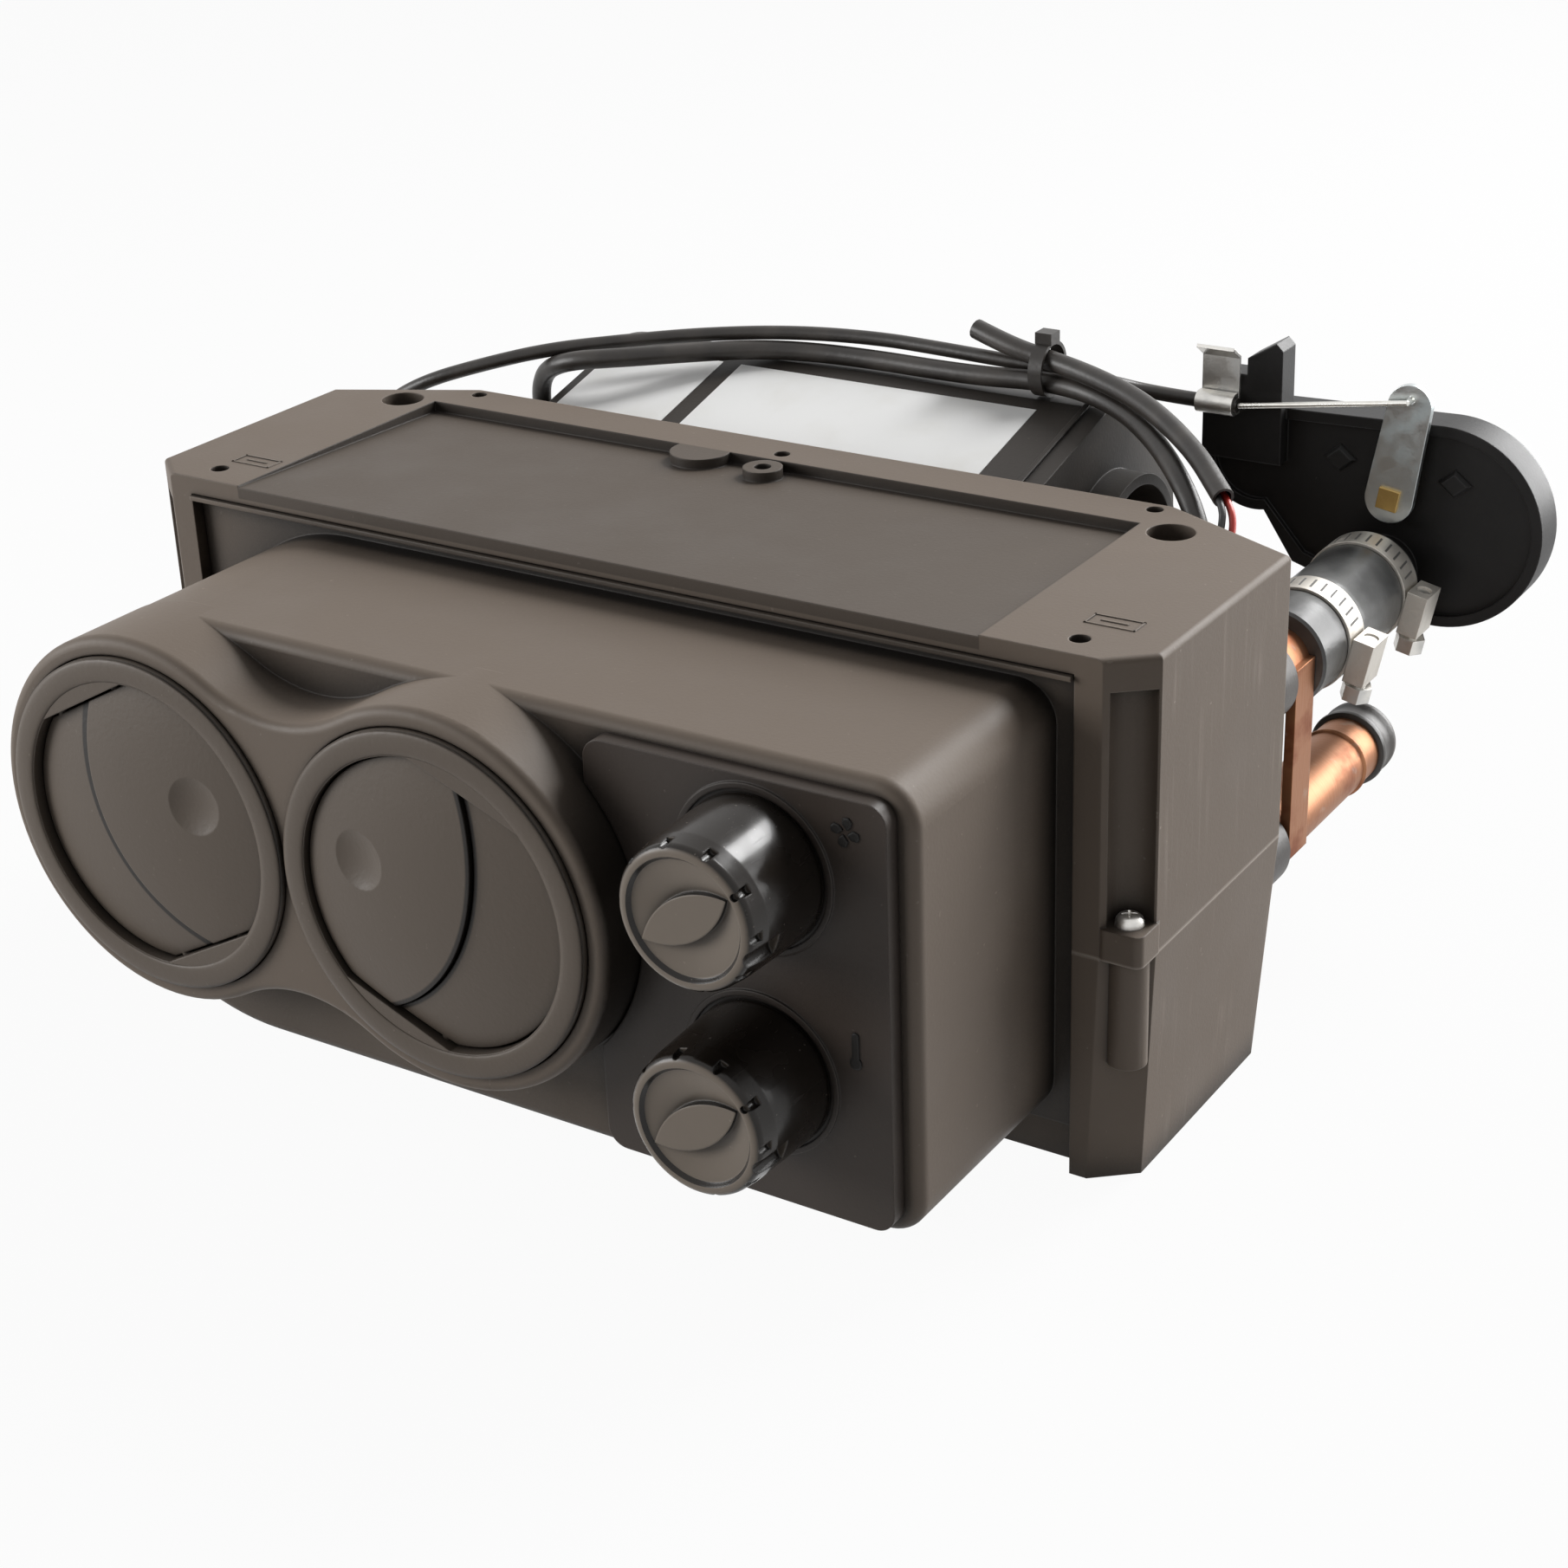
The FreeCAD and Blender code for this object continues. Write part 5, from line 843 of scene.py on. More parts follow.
class Workshop:
    """Makes meshes, places them and reports each piece."""

    def __init__(self, nodes: dict[str, bpy.types.Object], palette: Palette) -> None:
        """Keeps the frame's nodes and the finishes, and builds the trees that set copies.

        Args:
            nodes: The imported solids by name.
            palette: The finishes.
        """
        self.nodes = nodes
        self.palette = palette
        self.points = Scatter(ringed=False)
        self.ring = Scatter(ringed=True)

    def paint(self, finish: Finish, *names: str) -> None:
        """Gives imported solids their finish.

        Args:
            finish: The finish.
            names: The solids.
        """
        for name in names:
            data = self.nodes[name].data
            data.materials.clear()
            data.materials.append(self.palette.get(finish))
            LOG.info("%s: %s", name, finish.name)

    def piece(self, name: str, mesh: bmesh.types.BMesh, finish: Finish, body: str, slot: str,
              smooth: float = 35.0) -> bpy.types.Object:
        """Turns a mesh, which is freed, into a piece; the other arguments are those of adopt."""
        return self.adopt(name, bake(name, mesh), finish, body, slot, smooth)

    def adopt(self, name: str, data: bpy.types.Mesh, finish: Finish, body: str, slot: str,
              smooth: float | None = 35.0) -> bpy.types.Object:
        """Makes a piece that rides on a body.

        Args:
            name: The piece's name.
            data: Its mesh data, in the row frame.
            finish: Its finish.
            body: The body that carries it.
            slot: The record's material slot; not used.
            smooth: Edges that turn by less than this many degrees are smooth; None leaves every face flat.

        Returns:
            The piece.
        """
        data.materials.clear()
        data.materials.append(self.palette.get(finish))
        if smooth is not None:
            data.polygons.foreach_set("use_smooth", [True] * len(data.polygons))
            data.set_sharp_from_angle(angle=math.radians(smooth))
        item = show(name, data)
        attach(item, body)
        LOG.info("%s rides on %s", name, body)
        return item

    def ringed(self, shape: bmesh.types.BMesh, count: int, radius: float, finish: Finish) -> bpy.types.Mesh:
        """Sets copies of a shape round a circle about Z, of a radius in metres."""
        return self.ring.run(shape, [(0.0, 0.0, 0.0)], Count=count, Radius=radius, Finish=self.palette.get(finish))

    @staticmethod
    def lathe(profile: Sequence[Flat], centre: Flat, steps: int = 72) -> bmesh.types.BMesh:
        """Turns a closed profile about an axis along Y.

        Args:
            profile: Pairs of place along the axis and radius, in millimetres.
            centre: The axis's place across and its height, in millimetres.
            steps: Steps round the axis.

        Returns:
            The mesh, in metres.
        """
        mesh = bmesh.new()
        rings = []
        for step in range(steps):
            turn = 2 * math.pi * step / steps
            rings.append([mesh.verts.new(((centre[0] + radius * math.cos(turn)) * MM, along * MM,
                                          (centre[1] + radius * math.sin(turn)) * MM))
                          for along, radius in profile])
        for step, ring in enumerate(rings):
            after = rings[(step + 1) % steps]
            for index in range(len(profile)):
                further = (index + 1) % len(profile)
                mesh.faces.new((ring[index], ring[further], after[further], after[index]))
        bmesh.ops.remove_doubles(mesh, verts=mesh.verts, dist=1e-7)
        bmesh.ops.recalc_face_normals(mesh, faces=mesh.faces)
        return mesh

    @staticmethod
    def prism(outline: Sequence[Flat], rise: float, place: Matrix, taper: float = 0.0) -> bmesh.types.BMesh:
        """Raises an outline to a closed prism.

        Args:
            outline: Its corners in millimetres, anticlockwise.
            rise: Its height in millimetres.
            place: Moves it into the row frame, in metres.
            taper: How much smaller its top is, as a share.

        Returns:
            The mesh.
        """
        mesh = bmesh.new()
        foot = [mesh.verts.new((u * MM, v * MM, 0.0)) for u, v in outline]
        keep = 1.0 - taper
        top = [mesh.verts.new((u * keep * MM, v * keep * MM, rise * MM)) for u, v in outline]
        mesh.faces.new(list(reversed(foot)))
        mesh.faces.new(top)
        for index in range(len(outline)):
            further = (index + 1) % len(outline)
            mesh.faces.new((foot[index], foot[further], top[further], top[index]))
        mesh.transform(place)
        return mesh

    @staticmethod
    def ribbon(path: Sequence[Flat], low: float, high: float, rise: float) -> bmesh.types.BMesh:
        """Lays a thin sheet on a path in the plane across X.

        Args:
            path: Places behind the origin and heights, in millimetres.
            low: Its lowest place along X, in millimetres.
            high: Its highest place along X.
            rise: Its thickness.

        Returns:
            The mesh.
        """
        mesh = bmesh.new()
        rows = []
        for index, (along, height) in enumerate(path):
            before, after = path[max(index - 1, 0)], path[min(index + 1, len(path) - 1)]
            run = Vector((after[0] - before[0], after[1] - before[1])).normalized()
            up = (along - run.y * rise, height + run.x * rise)
            rows.append([mesh.verts.new((x * MM, spot[0] * MM, spot[1] * MM))
                         for x, spot in ((low, (along, height)), (high, (along, height)), (high, up), (low, up))])
        for first, second in zip(rows, rows[1:]):
            for index in range(4):
                further = (index + 1) % 4
                mesh.faces.new((first[index], first[further], second[further], second[index]))
        mesh.faces.new(rows[0])
        mesh.faces.new(list(reversed(rows[-1])))
        bmesh.ops.recalc_face_normals(mesh, faces=mesh.faces)
        return mesh


@dataclass
class Group:
    """A group of pieces that one workshop dresses; sizes are in millimetres."""

    shop: Workshop


@dataclass
class CaseShell(Group):
    """The case: its halves, its screws and the small outlines moulded on its top."""

    screw_spots: tuple[Flat, ...] = ((146.5, -73.9), (-139.7, -73.9), (109.4, 20.55), (-102.6, 20.55))
    screw_seed: int = 4
    screw_steps: int = 32
    ear_top: float = -66.0
    head_radius: float = 3.45
    head_height: float = 2.8
    dome_turns: tuple[float, ...] = (0.25, 0.5, 0.75, 1.0, 1.2, 1.4)
    dome_powers: Flat = (0.8, 0.6)
    shank_length: float = 20.0
    shank_radius: float = 1.9
    recess_half: Flat = (2.0, 0.36)
    recess_above: float = 0.3
    recess_height: float = 1.9
    recess_taper: float = 0.35
    mark_spots: tuple[Flat, ...] = ((-119.5, -61.5), (134.0, -58.5))
    mark_half: Flat = (6.5, 3.0)
    mark_line: float = 0.5
    mark_rise: float = 0.25
    mark_sunk: float = 0.05
    mark_taper: float = 0.02
    bar_margin: float = 3.0
    bar_half: float = 0.3

    def dress(self) -> None:
        """Finishes the case."""
        self.shop.paint(Finish.CASE, "upper_case", "lower_case")
        self.shop.paint(Finish.FRONT, "front_plenum")
        self.screws()
        self.marks()

    def screw(self) -> bmesh.types.BMesh:
        """Makes one pan-head screw with a cross recess, its head standing on its own origin.

        Returns:
            The mesh.
        """
        radius, height = self.head_radius, self.head_height
        upwards, inwards = self.dome_powers
        dome = [(height * math.sin(a) ** upwards, radius * math.cos(a) ** inwards) for a in self.dome_turns]
        profile = [(-self.shank_length, 0.0), (-self.shank_length, self.shank_radius), (0.0, self.shank_radius),
                   (0.0, radius), *dome, (height, 0.0)]
        head = Workshop.lathe(profile, (0.0, 0.0), self.screw_steps)
        head.transform(Matrix.Rotation(QUARTER, 4, "X"))
        blank = show("screw_blank", bake("screw_solid", head))
        knife = show("screw_knife", bake("screw_recess", join(self.recess_arm(turn) for turn in (0.0, QUARTER))))
        boolean = blank.modifiers.new("recess", "BOOLEAN")
        boolean.object, boolean.operation, boolean.use_self = knife, "DIFFERENCE", True
        result = settle(blank)
        bpy.data.objects.remove(knife)
        mesh = bmesh.new()
        mesh.from_mesh(result)
        return mesh

    def recess_arm(self, turn: float) -> bmesh.types.BMesh:
        """Makes one arm of the cross that is cut into a screw.

        Args:
            turn: How far it is turned about the screw, in radians.

        Returns:
            The mesh.
        """
        half, wide = self.recess_half
        lift = Matrix.Translation((0.0, 0.0, (self.head_height + self.recess_above) * MM))
        lift = lift @ Matrix.Rotation(turn, 4, "Z") @ Matrix.Rotation(math.pi, 4, "X")
        return Workshop.prism(rectangle(-half, -wide, half, wide), self.recess_height, lift, self.recess_taper)

    def screws(self) -> None:
        """Sets the case screws on their ears."""
        spots = [(x * MM, y * MM, self.ear_top * MM) for x, y in self.screw_spots]
        data = self.shop.points.run(self.screw(), spots, Seed=self.screw_seed,
                                    Finish=self.shop.palette.get(Finish.ZINC))
        item = self.shop.adopt("screw_set", data, Finish.ZINC, "heater_case", "zinc_steel")
        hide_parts("case_screws")

    def marks(self) -> None:
        """Raises a thin plain frame with a bar in it beside each front corner hole."""
        wide, deep = self.mark_half
        line, inner = self.mark_line, wide - self.bar_margin
        bars = [(-wide, -deep, wide, -deep + line), (-wide, deep - line, wide, deep),
                (-wide, -deep, -wide + line, deep), (wide - line, -deep, wide, deep),
                (-inner, -self.bar_half, inner, self.bar_half)]
        places = [Matrix.Translation(Vector((x, y, -self.mark_sunk)) * MM) for x, y in self.mark_spots]
        whole = join(Workshop.prism(rectangle(*bar), self.mark_rise, place, self.mark_taper)
                     for place in places for bar in bars)
        self.shop.piece("case_marks", whole, Finish.CASE, "heater_case", "case_plastic")


@dataclass
class Vents(Group):
    """The two turning vents, each with a rounded bezel on its ring."""

    places: tuple[tuple[str, float], ...] = (("left", -77.6), ("right", 10.9))
    height: float = -57.6
    ring_front: float = -157.6
    inner: float = 37.3
    outer: float = 43.4
    crown: float = 0.45
    sunk: float = 0.05
    steps: int = 144
    smooth: float = 50.0
    swell: tuple[Flat, ...] = ((0.0, 0.0), (0.4, 0.04), (0.68, 0.1), (0.88, 0.19), (0.98, 0.3), (1.0, 0.42),
                               (0.96, 0.56), (0.84, 0.7), (0.64, 0.82), (0.4, 0.92), (0.16, 0.98), (0.0, 1.0))

    def dress(self) -> None:
        """Finishes the rings and the flaps."""
        for side, x in self.places:
            self.shop.paint(Finish.VENT, f"{side}_vent_ring")
            self.shop.paint(Finish[f"{side.upper()}_FLAPS"], f"{side}_vent_broad_flap", f"{side}_vent_crescent_flap")
            bezel = Workshop.lathe(self.bezel(), (x, self.height), self.steps)
            self.shop.piece(f"{side}_vent_bezel", bezel, Finish.VENT, f"{side}_vent", "case_plastic", self.smooth)

    def bezel(self) -> list[Flat]:
        """Draws the bezel's section, which swells near the ring's inner edge and falls away to its outer one."""
        foot, width = self.ring_front + self.sunk, self.outer - self.inner
        return [(foot - rise * self.crown, self.inner + width * share) for rise, share in self.swell]


@dataclass
class Controls(Group):
    """The control panel, its knobs and the marks beside them."""

    face: float = -142.6
    fan_mark: Flat = (114.0, -20.6)
    blade: tuple[Flat, ...] = ((0.5, -0.5), (1.5, -1.5), (2.7, -1.7), (3.5, -0.9), (3.3, 0.3), (2.0, 0.7))
    blade_count: int = 4
    blade_ring: float = 0.01
    heat_mark: Flat = (115.2, -72.8)
    bulb: tuple[float, float, float, float, int] = (1.5, -3.2, 125.0, 290.0, 14)
    tip: tuple[float, float, float, float, int] = (0.85, 3.6, 0.0, 180.0, 8)
    rise: float = 0.3

    def dress(self) -> None:
        """Finishes the panel, the knobs and what is behind them."""
        self.shop.paint(Finish.PANEL, "control_panel")
        self.shop.paint(Finish.KNOB, "fan_knob", "temperature_knob")
        self.shop.paint(Finish.INNER, "fan_switch", "temperature_control")
        self.shop.paint(Finish.STEEL, "fan_spindle", "temperature_spindle")
        self.shop.paint(Finish.ZINC, "control_nuts")
        self.fan()
        self.thermometer()

    def fan(self) -> None:
        """Raises a plain fan mark of a few blades."""
        shape = Workshop.prism(self.blade, self.rise, Matrix.Identity(4))
        data = self.shop.ringed(shape, self.blade_count, self.blade_ring * MM, Finish.MARK)
        data.transform(facing_front(self.fan_mark[0], self.face, self.fan_mark[1]))
        self.shop.adopt("fan_mark", data, Finish.MARK, "heater_case", "panel_plastic")

    def thermometer(self) -> None:
        """Raises a plain thermometer mark."""
        place = facing_front(self.heat_mark[0], self.face, self.heat_mark[1])
        mesh = Workshop.prism(arc(*self.bulb) + arc(*self.tip), self.rise, place)
        self.shop.piece("temperature_mark", mesh, Finish.MARK, "heater_case", "panel_plastic")


@dataclass
class Coolant(Group):
    """The core, the pipes, the hose with its clamps, and the valve."""

    pipe_x: float = 138.0
    upper: float = -38.9
    lower: float = -85.0
    bore: float = 9.32
    smooth: float = 40.0
    hose: Flat = (25.0, 88.0)
    hose_radius: float = 13.4
    hose_chamfer: float = 0.7
    hose_margin: float = 0.8
    swell_reach: float = 4.0
    swell_peak: float = 1.4
    swell: float = 0.3
    nip: float = 0.1
    clamps: Flat = (44.0, 81.0)
    clamp_half: float = 4.5
    clamp_radius: float = 14.2
    clamp_turn: float = 12.0
    slot_count: int = 30
    slot: tuple[Flat, ...] = ((-2.6, -0.5), (2.6, -0.1), (2.6, 0.5), (-2.6, 0.1))
    slot_rise: float = 0.06
    slot_sunk: float = 0.02
    worm_turn: float = 0.55
    cap: Flat = (77.0, 88.5)
    cap_radius: float = 10.8
    cap_lip: tuple[Flat, ...] = ((0.0, -0.8), (0.5, -0.15), (1.4, 0.0), (2.4, -0.2), (3.2, -0.7))
    cap_end: tuple[Flat, ...] = ((-4.4, -0.7), (-3.4, -0.25), (-1.6, -0.4), (-0.5, -1.3), (0.0, -2.6), (-0.3, -4.0),
                                 (-1.1, -5.2))
    cap_dish: float = 1.1
    cap_floor: float = 3.2
    valve_face: float = 97.6
    bosses: tuple[Flat, ...] = ((123.9, -9.7), (156.3, -12.2))
    boss: tuple[Flat, ...] = ((-5.0, 0.0), (0.0, -4.0), (5.0, 0.0), (0.0, 4.0))
    boss_rise: float = 1.4
    boss_taper: float = 0.3
    boss_smooth: float = 20.0

    def dress(self) -> None:
        """Finishes the coolant side."""
        self.shop.paint(Finish.CORE, "core_fins", "core_tubes", "core_left_tank", "core_right_tank")
        self.shop.paint(Finish.FOAM, "core_seals")
        self.shop.paint(Finish.COPPER, "upper_pipe", "lower_pipe", "pipe_strap")
        self.shop.paint(Finish.CAP, "pipe_grommets")
        self.shop.paint(Finish.BAND, "near_hose_clamp", "far_hose_clamp")
        self.shop.paint(Finish.ZINC, "near_clamp_screw", "far_clamp_screw")
        self.shop.paint(Finish.LEVER, "valve_lever")
        self.shop.paint(Finish.VALVE, "valve_body")
        self.shop.paint(Finish.BRASS, "valve_shaft")
        self.make_hose()
        self.make_cap()
        self.make_slots()
        self.make_bosses()

    def make_hose(self) -> None:
        """Turns the hose, drawn in under its clamps and swollen beside them."""
        (start, end), radius, chamfer = self.hose, self.hose_radius, self.hose_chamfer
        outer = [(start, radius - chamfer), (start + chamfer, radius)]
        for clamp in self.clamps:
            near, far = clamp - self.clamp_half, clamp + self.clamp_half
            outer += [(near - self.swell_reach, radius), (near - self.swell_peak, radius + self.swell),
                      (near, radius - self.nip), (far, radius - self.nip),
                      (far + self.swell_peak, radius + self.swell),
                      (min(far + self.swell_reach, end - self.hose_margin), radius)]
        outer += [(end - chamfer, radius), (end, radius - chamfer)]
        inner = [(end, self.bore), (start, self.bore)]
        item = self.shop.piece("hose_tube", Workshop.lathe(outer + inner, (self.pipe_x, self.upper)), Finish.HOSE,
                               "heater_case", "rubber", self.smooth)
        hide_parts("coolant_hose")

    def make_cap(self) -> None:
        """Turns the rubber cap of the lower pipe, with a rolled lip and a dished end."""
        (start, end), radius = self.cap, self.cap_radius
        profile = [(start, self.bore)]
        profile += [(start + along, radius + out) for along, out in self.cap_lip]
        profile += [(end + along, radius + out) for along, out in self.cap_end]
        profile += [(end - self.cap_dish, 0.0), (end - self.cap_floor, 0.0), (end - self.cap_floor, self.bore)]
        item = self.shop.piece("cap_moulding", Workshop.lathe(profile, (self.pipe_x, self.lower)), Finish.CAP,
                               "heater_case", "rubber", self.smooth)
        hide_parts("pipe_cap")

    def make_slots(self) -> None:
        """Marks the slots that the worm screws bite into round each clamp band."""
        stand = Matrix.Rotation(QUARTER, 4, "Y") @ Matrix.Rotation(QUARTER, 4, "Z")
        for name, along in zip(("near", "far"), self.clamps):
            shape = Workshop.prism(self.slot, self.slot_rise, stand)
            shape.transform(Matrix.Rotation(QUARTER, 4, "X"))
            data = self.shop.ringed(shape, self.slot_count, (self.clamp_radius - self.slot_sunk) * MM, Finish.SLOT)
            self.trim_slots(data)
            place = Matrix.Translation(Vector((self.pipe_x, along, self.upper)) * MM)
            data.transform(place @ Matrix.Rotation(math.radians(self.clamp_turn), 4, "Y")
                           @ Matrix.Rotation(-QUARTER, 4, "X"))
            self.shop.adopt(f"{name}_clamp_slots", data, Finish.SLOT, "heater_case", "zinc_steel", None)

    def trim_slots(self, data: bpy.types.Mesh) -> None:
        """Drops the slots that would lie under the worm housing, on the ring's own +X side.

        Args:
            data: The slots, which are changed.
        """
        mesh = bmesh.new()
        mesh.from_mesh(data)
        hidden = [vert for vert in mesh.verts
                  if vert.co.x > 0 and abs(math.atan2(vert.co.y, vert.co.x)) < self.worm_turn]
        bmesh.ops.delete(mesh, geom=hidden, context="VERTS")
        mesh.to_mesh(data)
        mesh.free()

    def make_bosses(self) -> None:
        """Raises the two diamond bosses on the valve's face."""
        whole = join(Workshop.prism(self.boss, self.boss_rise, facing_front(x, self.valve_face, z), self.boss_taper)
                     for x, z in self.bosses)
        self.shop.piece("valve_bosses", whole, Finish.VALVE, "heater_case", "valve_plastic", self.boss_smooth)


@dataclass
class Blower(Group):
    """The blower housing with its blank labels, and what turns inside it."""

    back: float = 16.8
    duct_top: float = -8.5
    axis: Flat = (67.0, -38.0)
    scroll: float = 42.5
    smooth: float = 30.0
    labels: tuple[Flat, ...] = ((-88.0, -51.5), (-45.2, 50.4))
    label_span: Flat = (20.5, 62.0)
    label_steps: int = 6
    label_thickness: float = 0.14
    rib: Flat = (62.4, 64.0)
    rib_start: float = 0.6
    rib_steps: int = 4
    rib_rise: float = 0.8
    rib_turn: float = 6.0
    rib_turns: int = 14

    def dress(self) -> None:
        """Finishes the blower."""
        self.shop.paint(Finish.BLOWER, "blower_upper", "blower_lower", "left_blower_wheel", "right_blower_wheel",
                        "motor_cradle")
        self.shop.paint(Finish.STEEL, "blower_motor", "motor_shaft")
        for name, (low, high) in zip(("left_label", "right_label"), self.labels):
            sheet = Workshop.ribbon(self.top(*self.label_span, self.label_steps), low, high, self.label_thickness)
            self.shop.piece(name, sheet, Finish.PAPER, "heater_case", "blower_plastic", self.smooth)
        path = self.top(self.back + self.rib_start, self.axis[0], self.rib_steps)
        turns = [math.radians(step * self.rib_turn) for step in range(1, self.rib_turns + 1)]
        path += [(self.axis[0] + self.scroll * math.sin(a), self.axis[1] + self.scroll * math.cos(a)) for a in turns]
        self.shop.piece("housing_rib", Workshop.ribbon(path, *self.rib, self.rib_rise), Finish.BLOWER, "heater_case",
                        "blower_plastic", self.smooth)

    def top(self, first: float, last: float, steps: int) -> list[Flat]:
        """Follows the top of the housing ahead of the blower's axis.

        Args:
            first: Where to start, behind the origin.
            last: Where to end.
            steps: How many steps to take.

        Returns:
            Places behind the origin and heights.
        """
        crest = self.axis[1] + self.scroll
        slope = (crest - self.duct_top) / (self.axis[0] - self.back)
        rows = [first + (last - first) * step / steps for step in range(steps + 1)]
        return [(row, self.duct_top + slope * (row - self.back)) for row in rows]


class Jacket(Enum):
    """What a cord is covered with, and how it is made."""

    SOLID = "solid"
    OPEN_TUBE = "open tube"


@dataclass
class Cord:
    """A cord on its route, in millimetres, from where it leaves the object."""

    name: str
    node: str
    finish: Finish
    slot: str
    radius: float
    route: tuple[Spot, ...]
    far_end: str
    stiffness: str
    lay: str = "loose"
    jacket: Jacket = Jacket.SOLID
    wall: float = 0.7
    smooth: float = 60.0
    steps: int = 10
    order: int = 3
    roundness: int = 5

    def line(self) -> bpy.types.Object:
        """Draws the route as one smooth spline with no thickness.

        Returns:
            The curve object.
        """
        data = bpy.data.curves.new(self.name, "CURVE")
        data.dimensions = "3D"
        data.resolution_u = self.steps
        spline = data.splines.new("NURBS")
        spline.points.add(len(self.route) - 1)
        for point, spot in zip(spline.points, self.route):
            point.co = (*(Vector(spot) * MM), 1.0)
        spline.order_u = self.order
        spline.use_endpoint_u = True
        return show(self.name, data)

    def centres(self) -> list[Vector]:
        """Reads points along the spline, in metres."""
        return [vert.co.copy() for vert in settle(self.line()).vertices]

    def lay_down(self, shop: Workshop, *companions: str) -> bpy.types.Object:
        """Args:
            shop: The workshop.
            companions: Nodes of pieces that are on the cord; not used.

        Returns:
            The piece.
        """
        spots = self.centres()
        item = self.line()
        item.data.bevel_depth = self.radius * MM
        item.data.bevel_resolution = self.roundness
        if self.jacket is Jacket.SOLID:
            item.data.use_fill_caps = True
            item.data.materials.append(shop.palette.get(self.finish))
            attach(item, "heater_case")
        else:
            wall = item.modifiers.new("wall", "SOLIDIFY")
            wall.thickness, wall.offset = self.wall * MM, -1.0
            item = shop.adopt(self.name, settle(item), self.finish, "heater_case", self.slot, self.smooth)
        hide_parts(self.node)
        return item


CABLE_ROUTE = (
    (-128, 3, -60), (-130, 19, -60), (-138, 32, -53), (-148, 35, -41), (-152.5, 29, -26), (-146.5, 22, -11.5),
    (-131, 22.5, -2.5), (-114, 29.5, 3), (-96.5, 38.5, 7.4), (-78.5, 49.5, 9.2), (-57, 61.5, 11), (-33, 70.8, 12.2),
    (-7, 74.8, 12.6), (14, 74.2, 12.4), (32, 73.6, 12), (51.5, 74.2, 11.5), (61.5, 80.5, 7.8), (74, 89.6, 3.2),
    (97, 89.6, 3.2))
SLEEVE_ROUTE = (
    (-100, 12, -42), (-100, 28, -40), (-103.5, 41.5, -31.5), (-106, 45.5, -16), (-101.5, 40.5, -1),
    (-88.5, 35.5, 5.8), (-72.5, 40.8, 7.4), (-58.5, 52, 7.6), (-43, 64.5, 7.5), (-26, 69.8, 7.5), (-5, 71, 7.5),
    (14, 70, 7.6), (31, 69.4, 8), (47.5, 69.8, 9), (62, 68.2, 8.5), (77, 61, 7.2), (91, 49.8, 5), (104, 37, 1.2),
    (113.5, 28.5, -6), (119.5, 22, -16.5), (121, 9.8, -21.2))
SHORT_ROUTE = (
    (122.2, 25.3, 1.2), (118.6, 28.9, 2.6), (109.7, 37.8, 6), (99.3, 46, 9), (88.7, 52.9, 11.6), (77.5, 59.3, 13.1),
    (62.5, 66.2, 14.2), (48.5, 70.2, 15.2), (37, 70.4, 17.4), (26, 72.8, 20))
RED_ROUTE = (
    (125.4, 7.5, -16.5), (127.3, 14.8, -12), (127.2, 21, -5), (124.65, 24.25, 0.25), (116.8, 32.1, 3.3))
BLACK_ROUTE = (
    (122.8, 6.5, -17.5), (124.6, 13.6, -12.5), (124.6, 19.4, -5), (123.25, 22.85, 0.75), (115.4, 30.7, 3.3))


@dataclass
class Harness(Group):
    """The control cable, the wiring and what holds them."""

    sheath_end: Spot = (97.3, 89.6, 3.2)
    wire_slide: Spot = (0.962, 0.0, 0.272)
    wire_left: float = 0.502
    wire_smooth: float = 40.0
    cords: tuple[Cord, ...] = (
        Cord("cable_sheath", "control_cable", Finish.JACKET, "cable_sheath", 2.0, CABLE_ROUTE, "object", "stiff"),
        Cord("long_sleeve", "wiring_sleeve", Finish.JACKET, "cable_sheath", 2.8, SLEEVE_ROUTE, "object", "limp"),
        Cord("red_wire", "red_lead", Finish.RED, "red_insulation", 0.9, RED_ROUTE, "object", "limp"),
        Cord("black_wire", "black_lead", Finish.BLACK, "black_insulation", 0.9, BLACK_ROUTE, "object", "limp"),
        Cord("cut_sleeve", "short_sleeve", Finish.JACKET, "cable_sheath", 2.8, SHORT_ROUTE, "bare", "limp",
             jacket=Jacket.OPEN_TUBE),
    )

    def dress(self) -> None:
        """Lays the cords and finishes their fittings."""
        self.shop.paint(Finish.CAP, "cable_grommets")
        self.shop.paint(Finish.JACKET, "cable_tie")
        self.shop.paint(Finish.ZINC, "cable_clip")
        for cord in self.cords:
            cord.lay_down(self.shop, *(["cable_tie"] if cord.node == "wiring_sleeve" else []))
        self.slide_wire()

    def slide_wire(self) -> None:
        """Copies the control wire into a piece of its own, finished as wire, in place of the imported one."""
        solid = self.shop.nodes["control_wire"]
        data = solid.data.copy()
        data.transform(solid.matrix_world)
        item = self.shop.adopt("sliding_wire", data, Finish.WIRE, "heater_case", "zinc_steel", self.wire_smooth)
        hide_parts("control_wire")
        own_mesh(item)


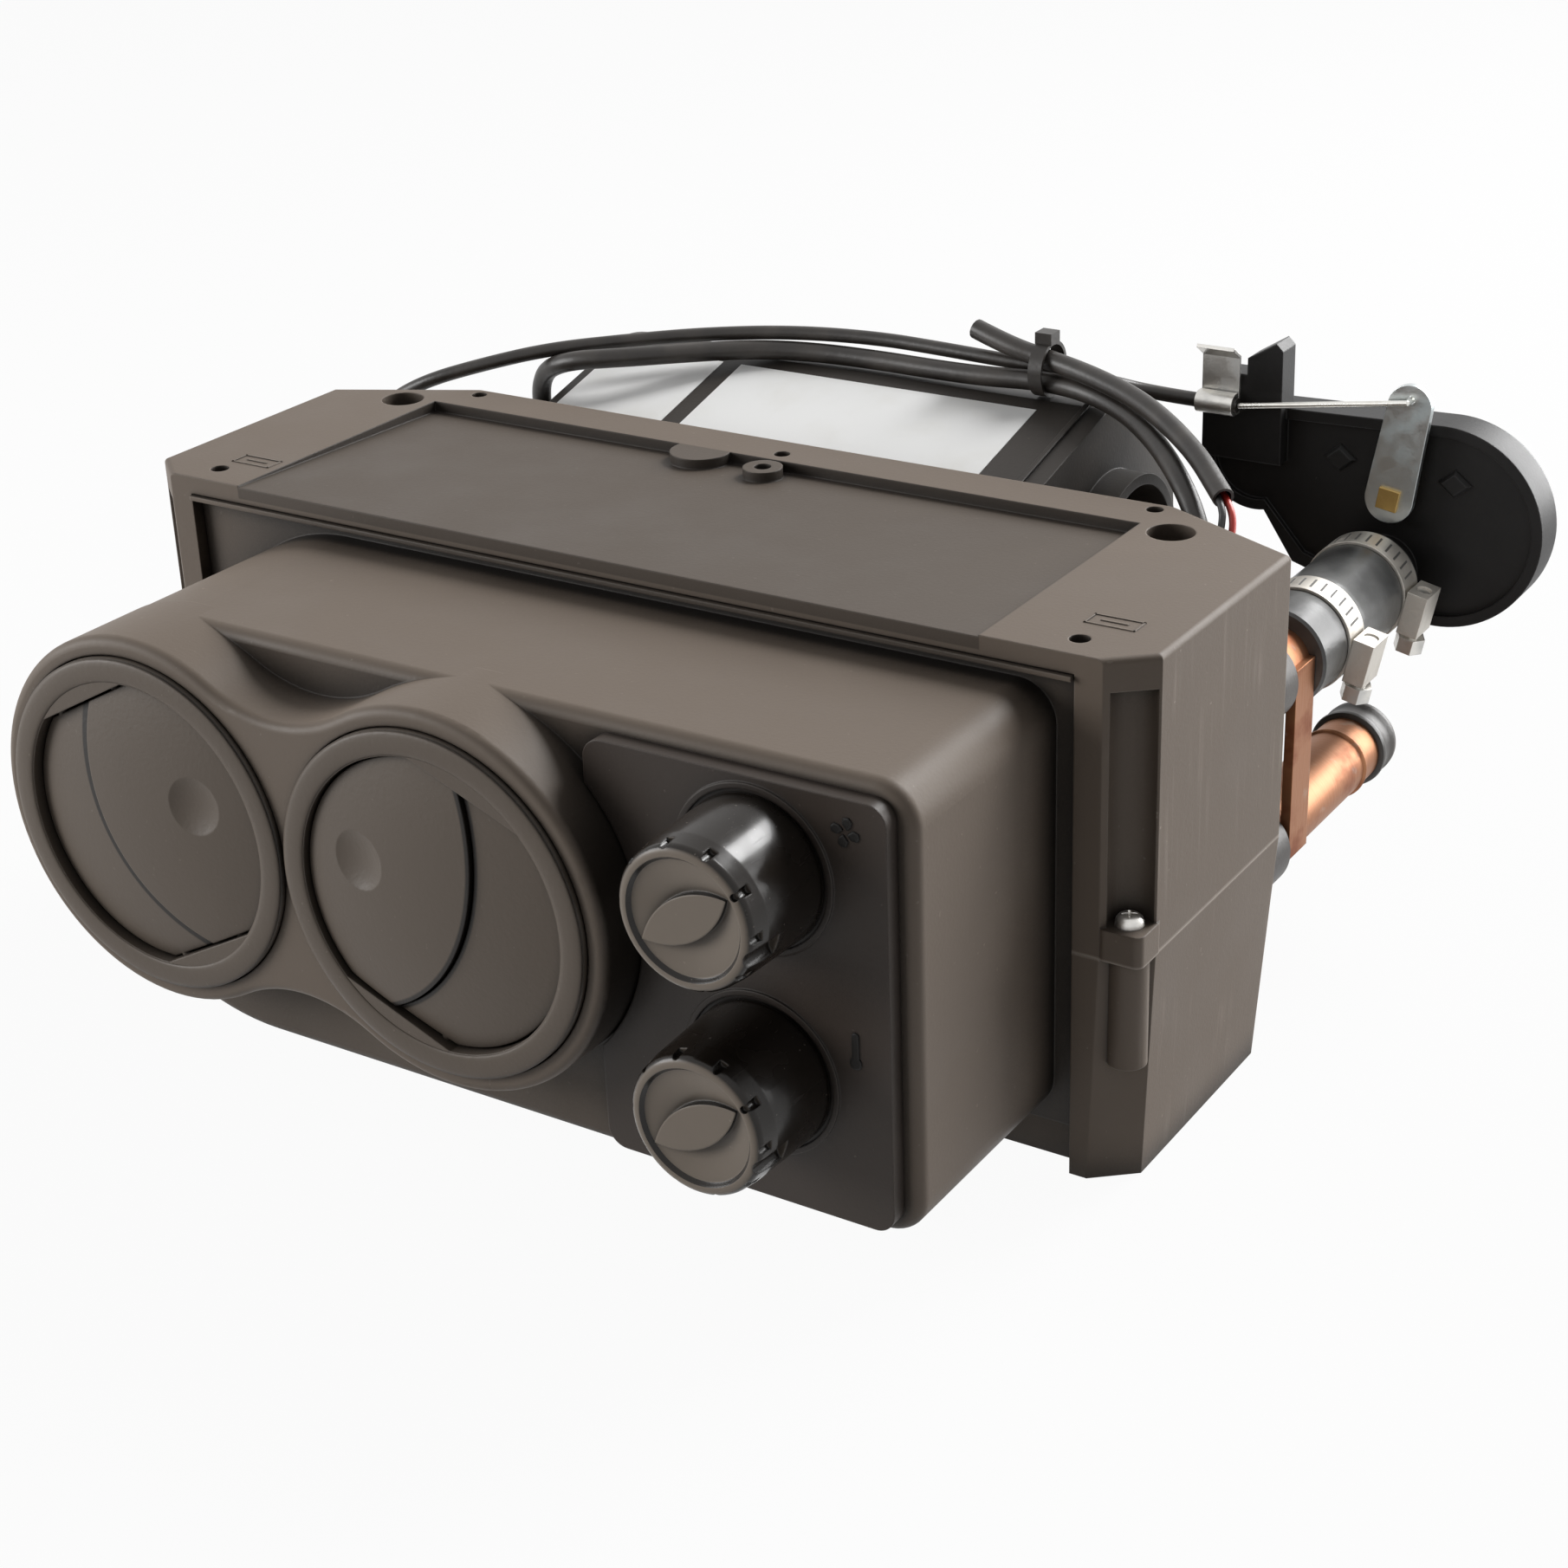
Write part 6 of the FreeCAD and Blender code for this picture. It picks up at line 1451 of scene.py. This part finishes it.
@dataclass
class Studio:
    """Plain pale floor, soft lamps, white surroundings and the photograph's camera; lengths are in metres."""

    floor: float = -0.1342
    reach: float = 6.0
    floor_colour: Colour = (0.48, 0.48, 0.48)
    floor_roughness: float = 0.9
    floor_glow: float = 0.95
    eye: Spot = (0.3922, -0.5857, 0.2368)
    right: Spot = (0.84481, 0.53409, -0.03243)
    up: Spot = (-0.20274, 0.37544, 0.90443)
    back: Spot = (0.49533, -0.75751, 0.42544)
    sensor: float = 36.0
    lens: float = 64.4
    shift: float = -0.0083
    nearest: float = 0.01
    ambient: float = 0.11
    aim: Spot = (0.0, 0.0, -0.06)
    lamps: tuple[tuple[str, Spot, float, float], ...] = (
        ("back_lamp", (0.38, 0.85, 0.92), 0.5, 15.0),
        ("right_lamp", (0.75, 1.4, 0.3), 1.4, 38.0),
        ("left_lamp", (-1.1, -0.85, 0.3), 0.8, 13.5),
    )

    def build(self) -> None:
        """Makes the floor, the lamps, the world and the camera."""
        self.make_floor()
        self.make_world()
        for name, spot, size, power in self.lamps:
            lamp = bpy.data.lights.new(name, "AREA")
            lamp.shape, lamp.size, lamp.energy = "DISK", size, power
            item = show(name, lamp)
            item.location = spot
            item.rotation_euler = (Vector(spot) - Vector(self.aim)).to_track_quat("Z", "Y").to_euler()
        self.make_camera()

    def make_floor(self) -> None:
        """Makes a pale floor that is white to the camera but keeps a soft shadow."""
        mesh = bmesh.new()
        bmesh.ops.create_grid(mesh, x_segments=1, y_segments=1, size=self.reach)
        mesh.transform(Matrix.Translation((0.0, 0.0, self.floor)))
        data = bake("floor", mesh)
        graph = Surface("pale_floor")
        plain = graph.principled(Base_Color=self.floor_colour, Roughness=self.floor_roughness,
                                 Specular_IOR_Level=0.0)
        glow = graph.node("ShaderNodeEmission", None, {"Color": WHITE, "Strength": 1.0})
        share = self.seen(graph) * self.floor_glow
        graph.end("ShaderNodeOutputMaterial", graph.node("ShaderNodeMixShader", None, {0: share, 1: plain, 2: glow}))
        data.materials.append(graph.material)
        show("floor", data)

    @staticmethod
    def seen(graph: Graph) -> Value:
        """Tells rays that show the background from those that light the object.

        Args:
            graph: The nodes to add to.

        Returns:
            1 for camera, mirror and see-through rays, 0 for others.
        """
        kinds = ("Is Camera Ray", "Is Glossy Ray", "Is Transmission Ray")
        camera, mirror, through = (graph.node("ShaderNodeLightPath", output=kind) for kind in kinds)
        return graph.math("MAXIMUM", graph.math("MAXIMUM", camera, mirror), through)

    def make_world(self) -> None:
        """Surrounds the object with white that lights it only softly."""
        world = bpy.data.worlds.new("white_room")
        bpy.context.scene.world = world
        world.use_nodes = True
        graph = Graph(world.node_tree)
        strength = self.seen(graph) * (1.0 - self.ambient) + self.ambient
        graph.end("ShaderNodeOutputWorld",
                  graph.node("ShaderNodeBackground", None, {"Color": WHITE, "Strength": strength}))

    def make_camera(self) -> None:
        """Puts the camera where the photograph was taken from."""
        camera = bpy.data.cameras.new("camera")
        camera.sensor_width, camera.sensor_height, camera.sensor_fit = self.sensor, self.sensor, "HORIZONTAL"
        camera.lens = self.lens
        camera.shift_x = self.shift
        camera.clip_start = self.nearest
        item = show("camera", camera)
        turn = Matrix((self.right, self.up, self.back)).transposed().to_4x4()
        item.matrix_world = Matrix.Translation(self.eye) @ turn
        bpy.context.scene.camera = item


def main() -> None:
    """Builds the dressed heater."""
    logging.basicConfig(level=logging.INFO, format="%(message)s")
    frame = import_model()
    bpy.context.scene.view_settings.view_transform = "Standard"
    shop = Workshop(frame["nodes"], Palette())
    for group in (CaseShell, Vents, Controls, Coolant, Blower, Harness):
        group(shop).dress()
    Studio().build()


if __name__ == "__main__":
    main()
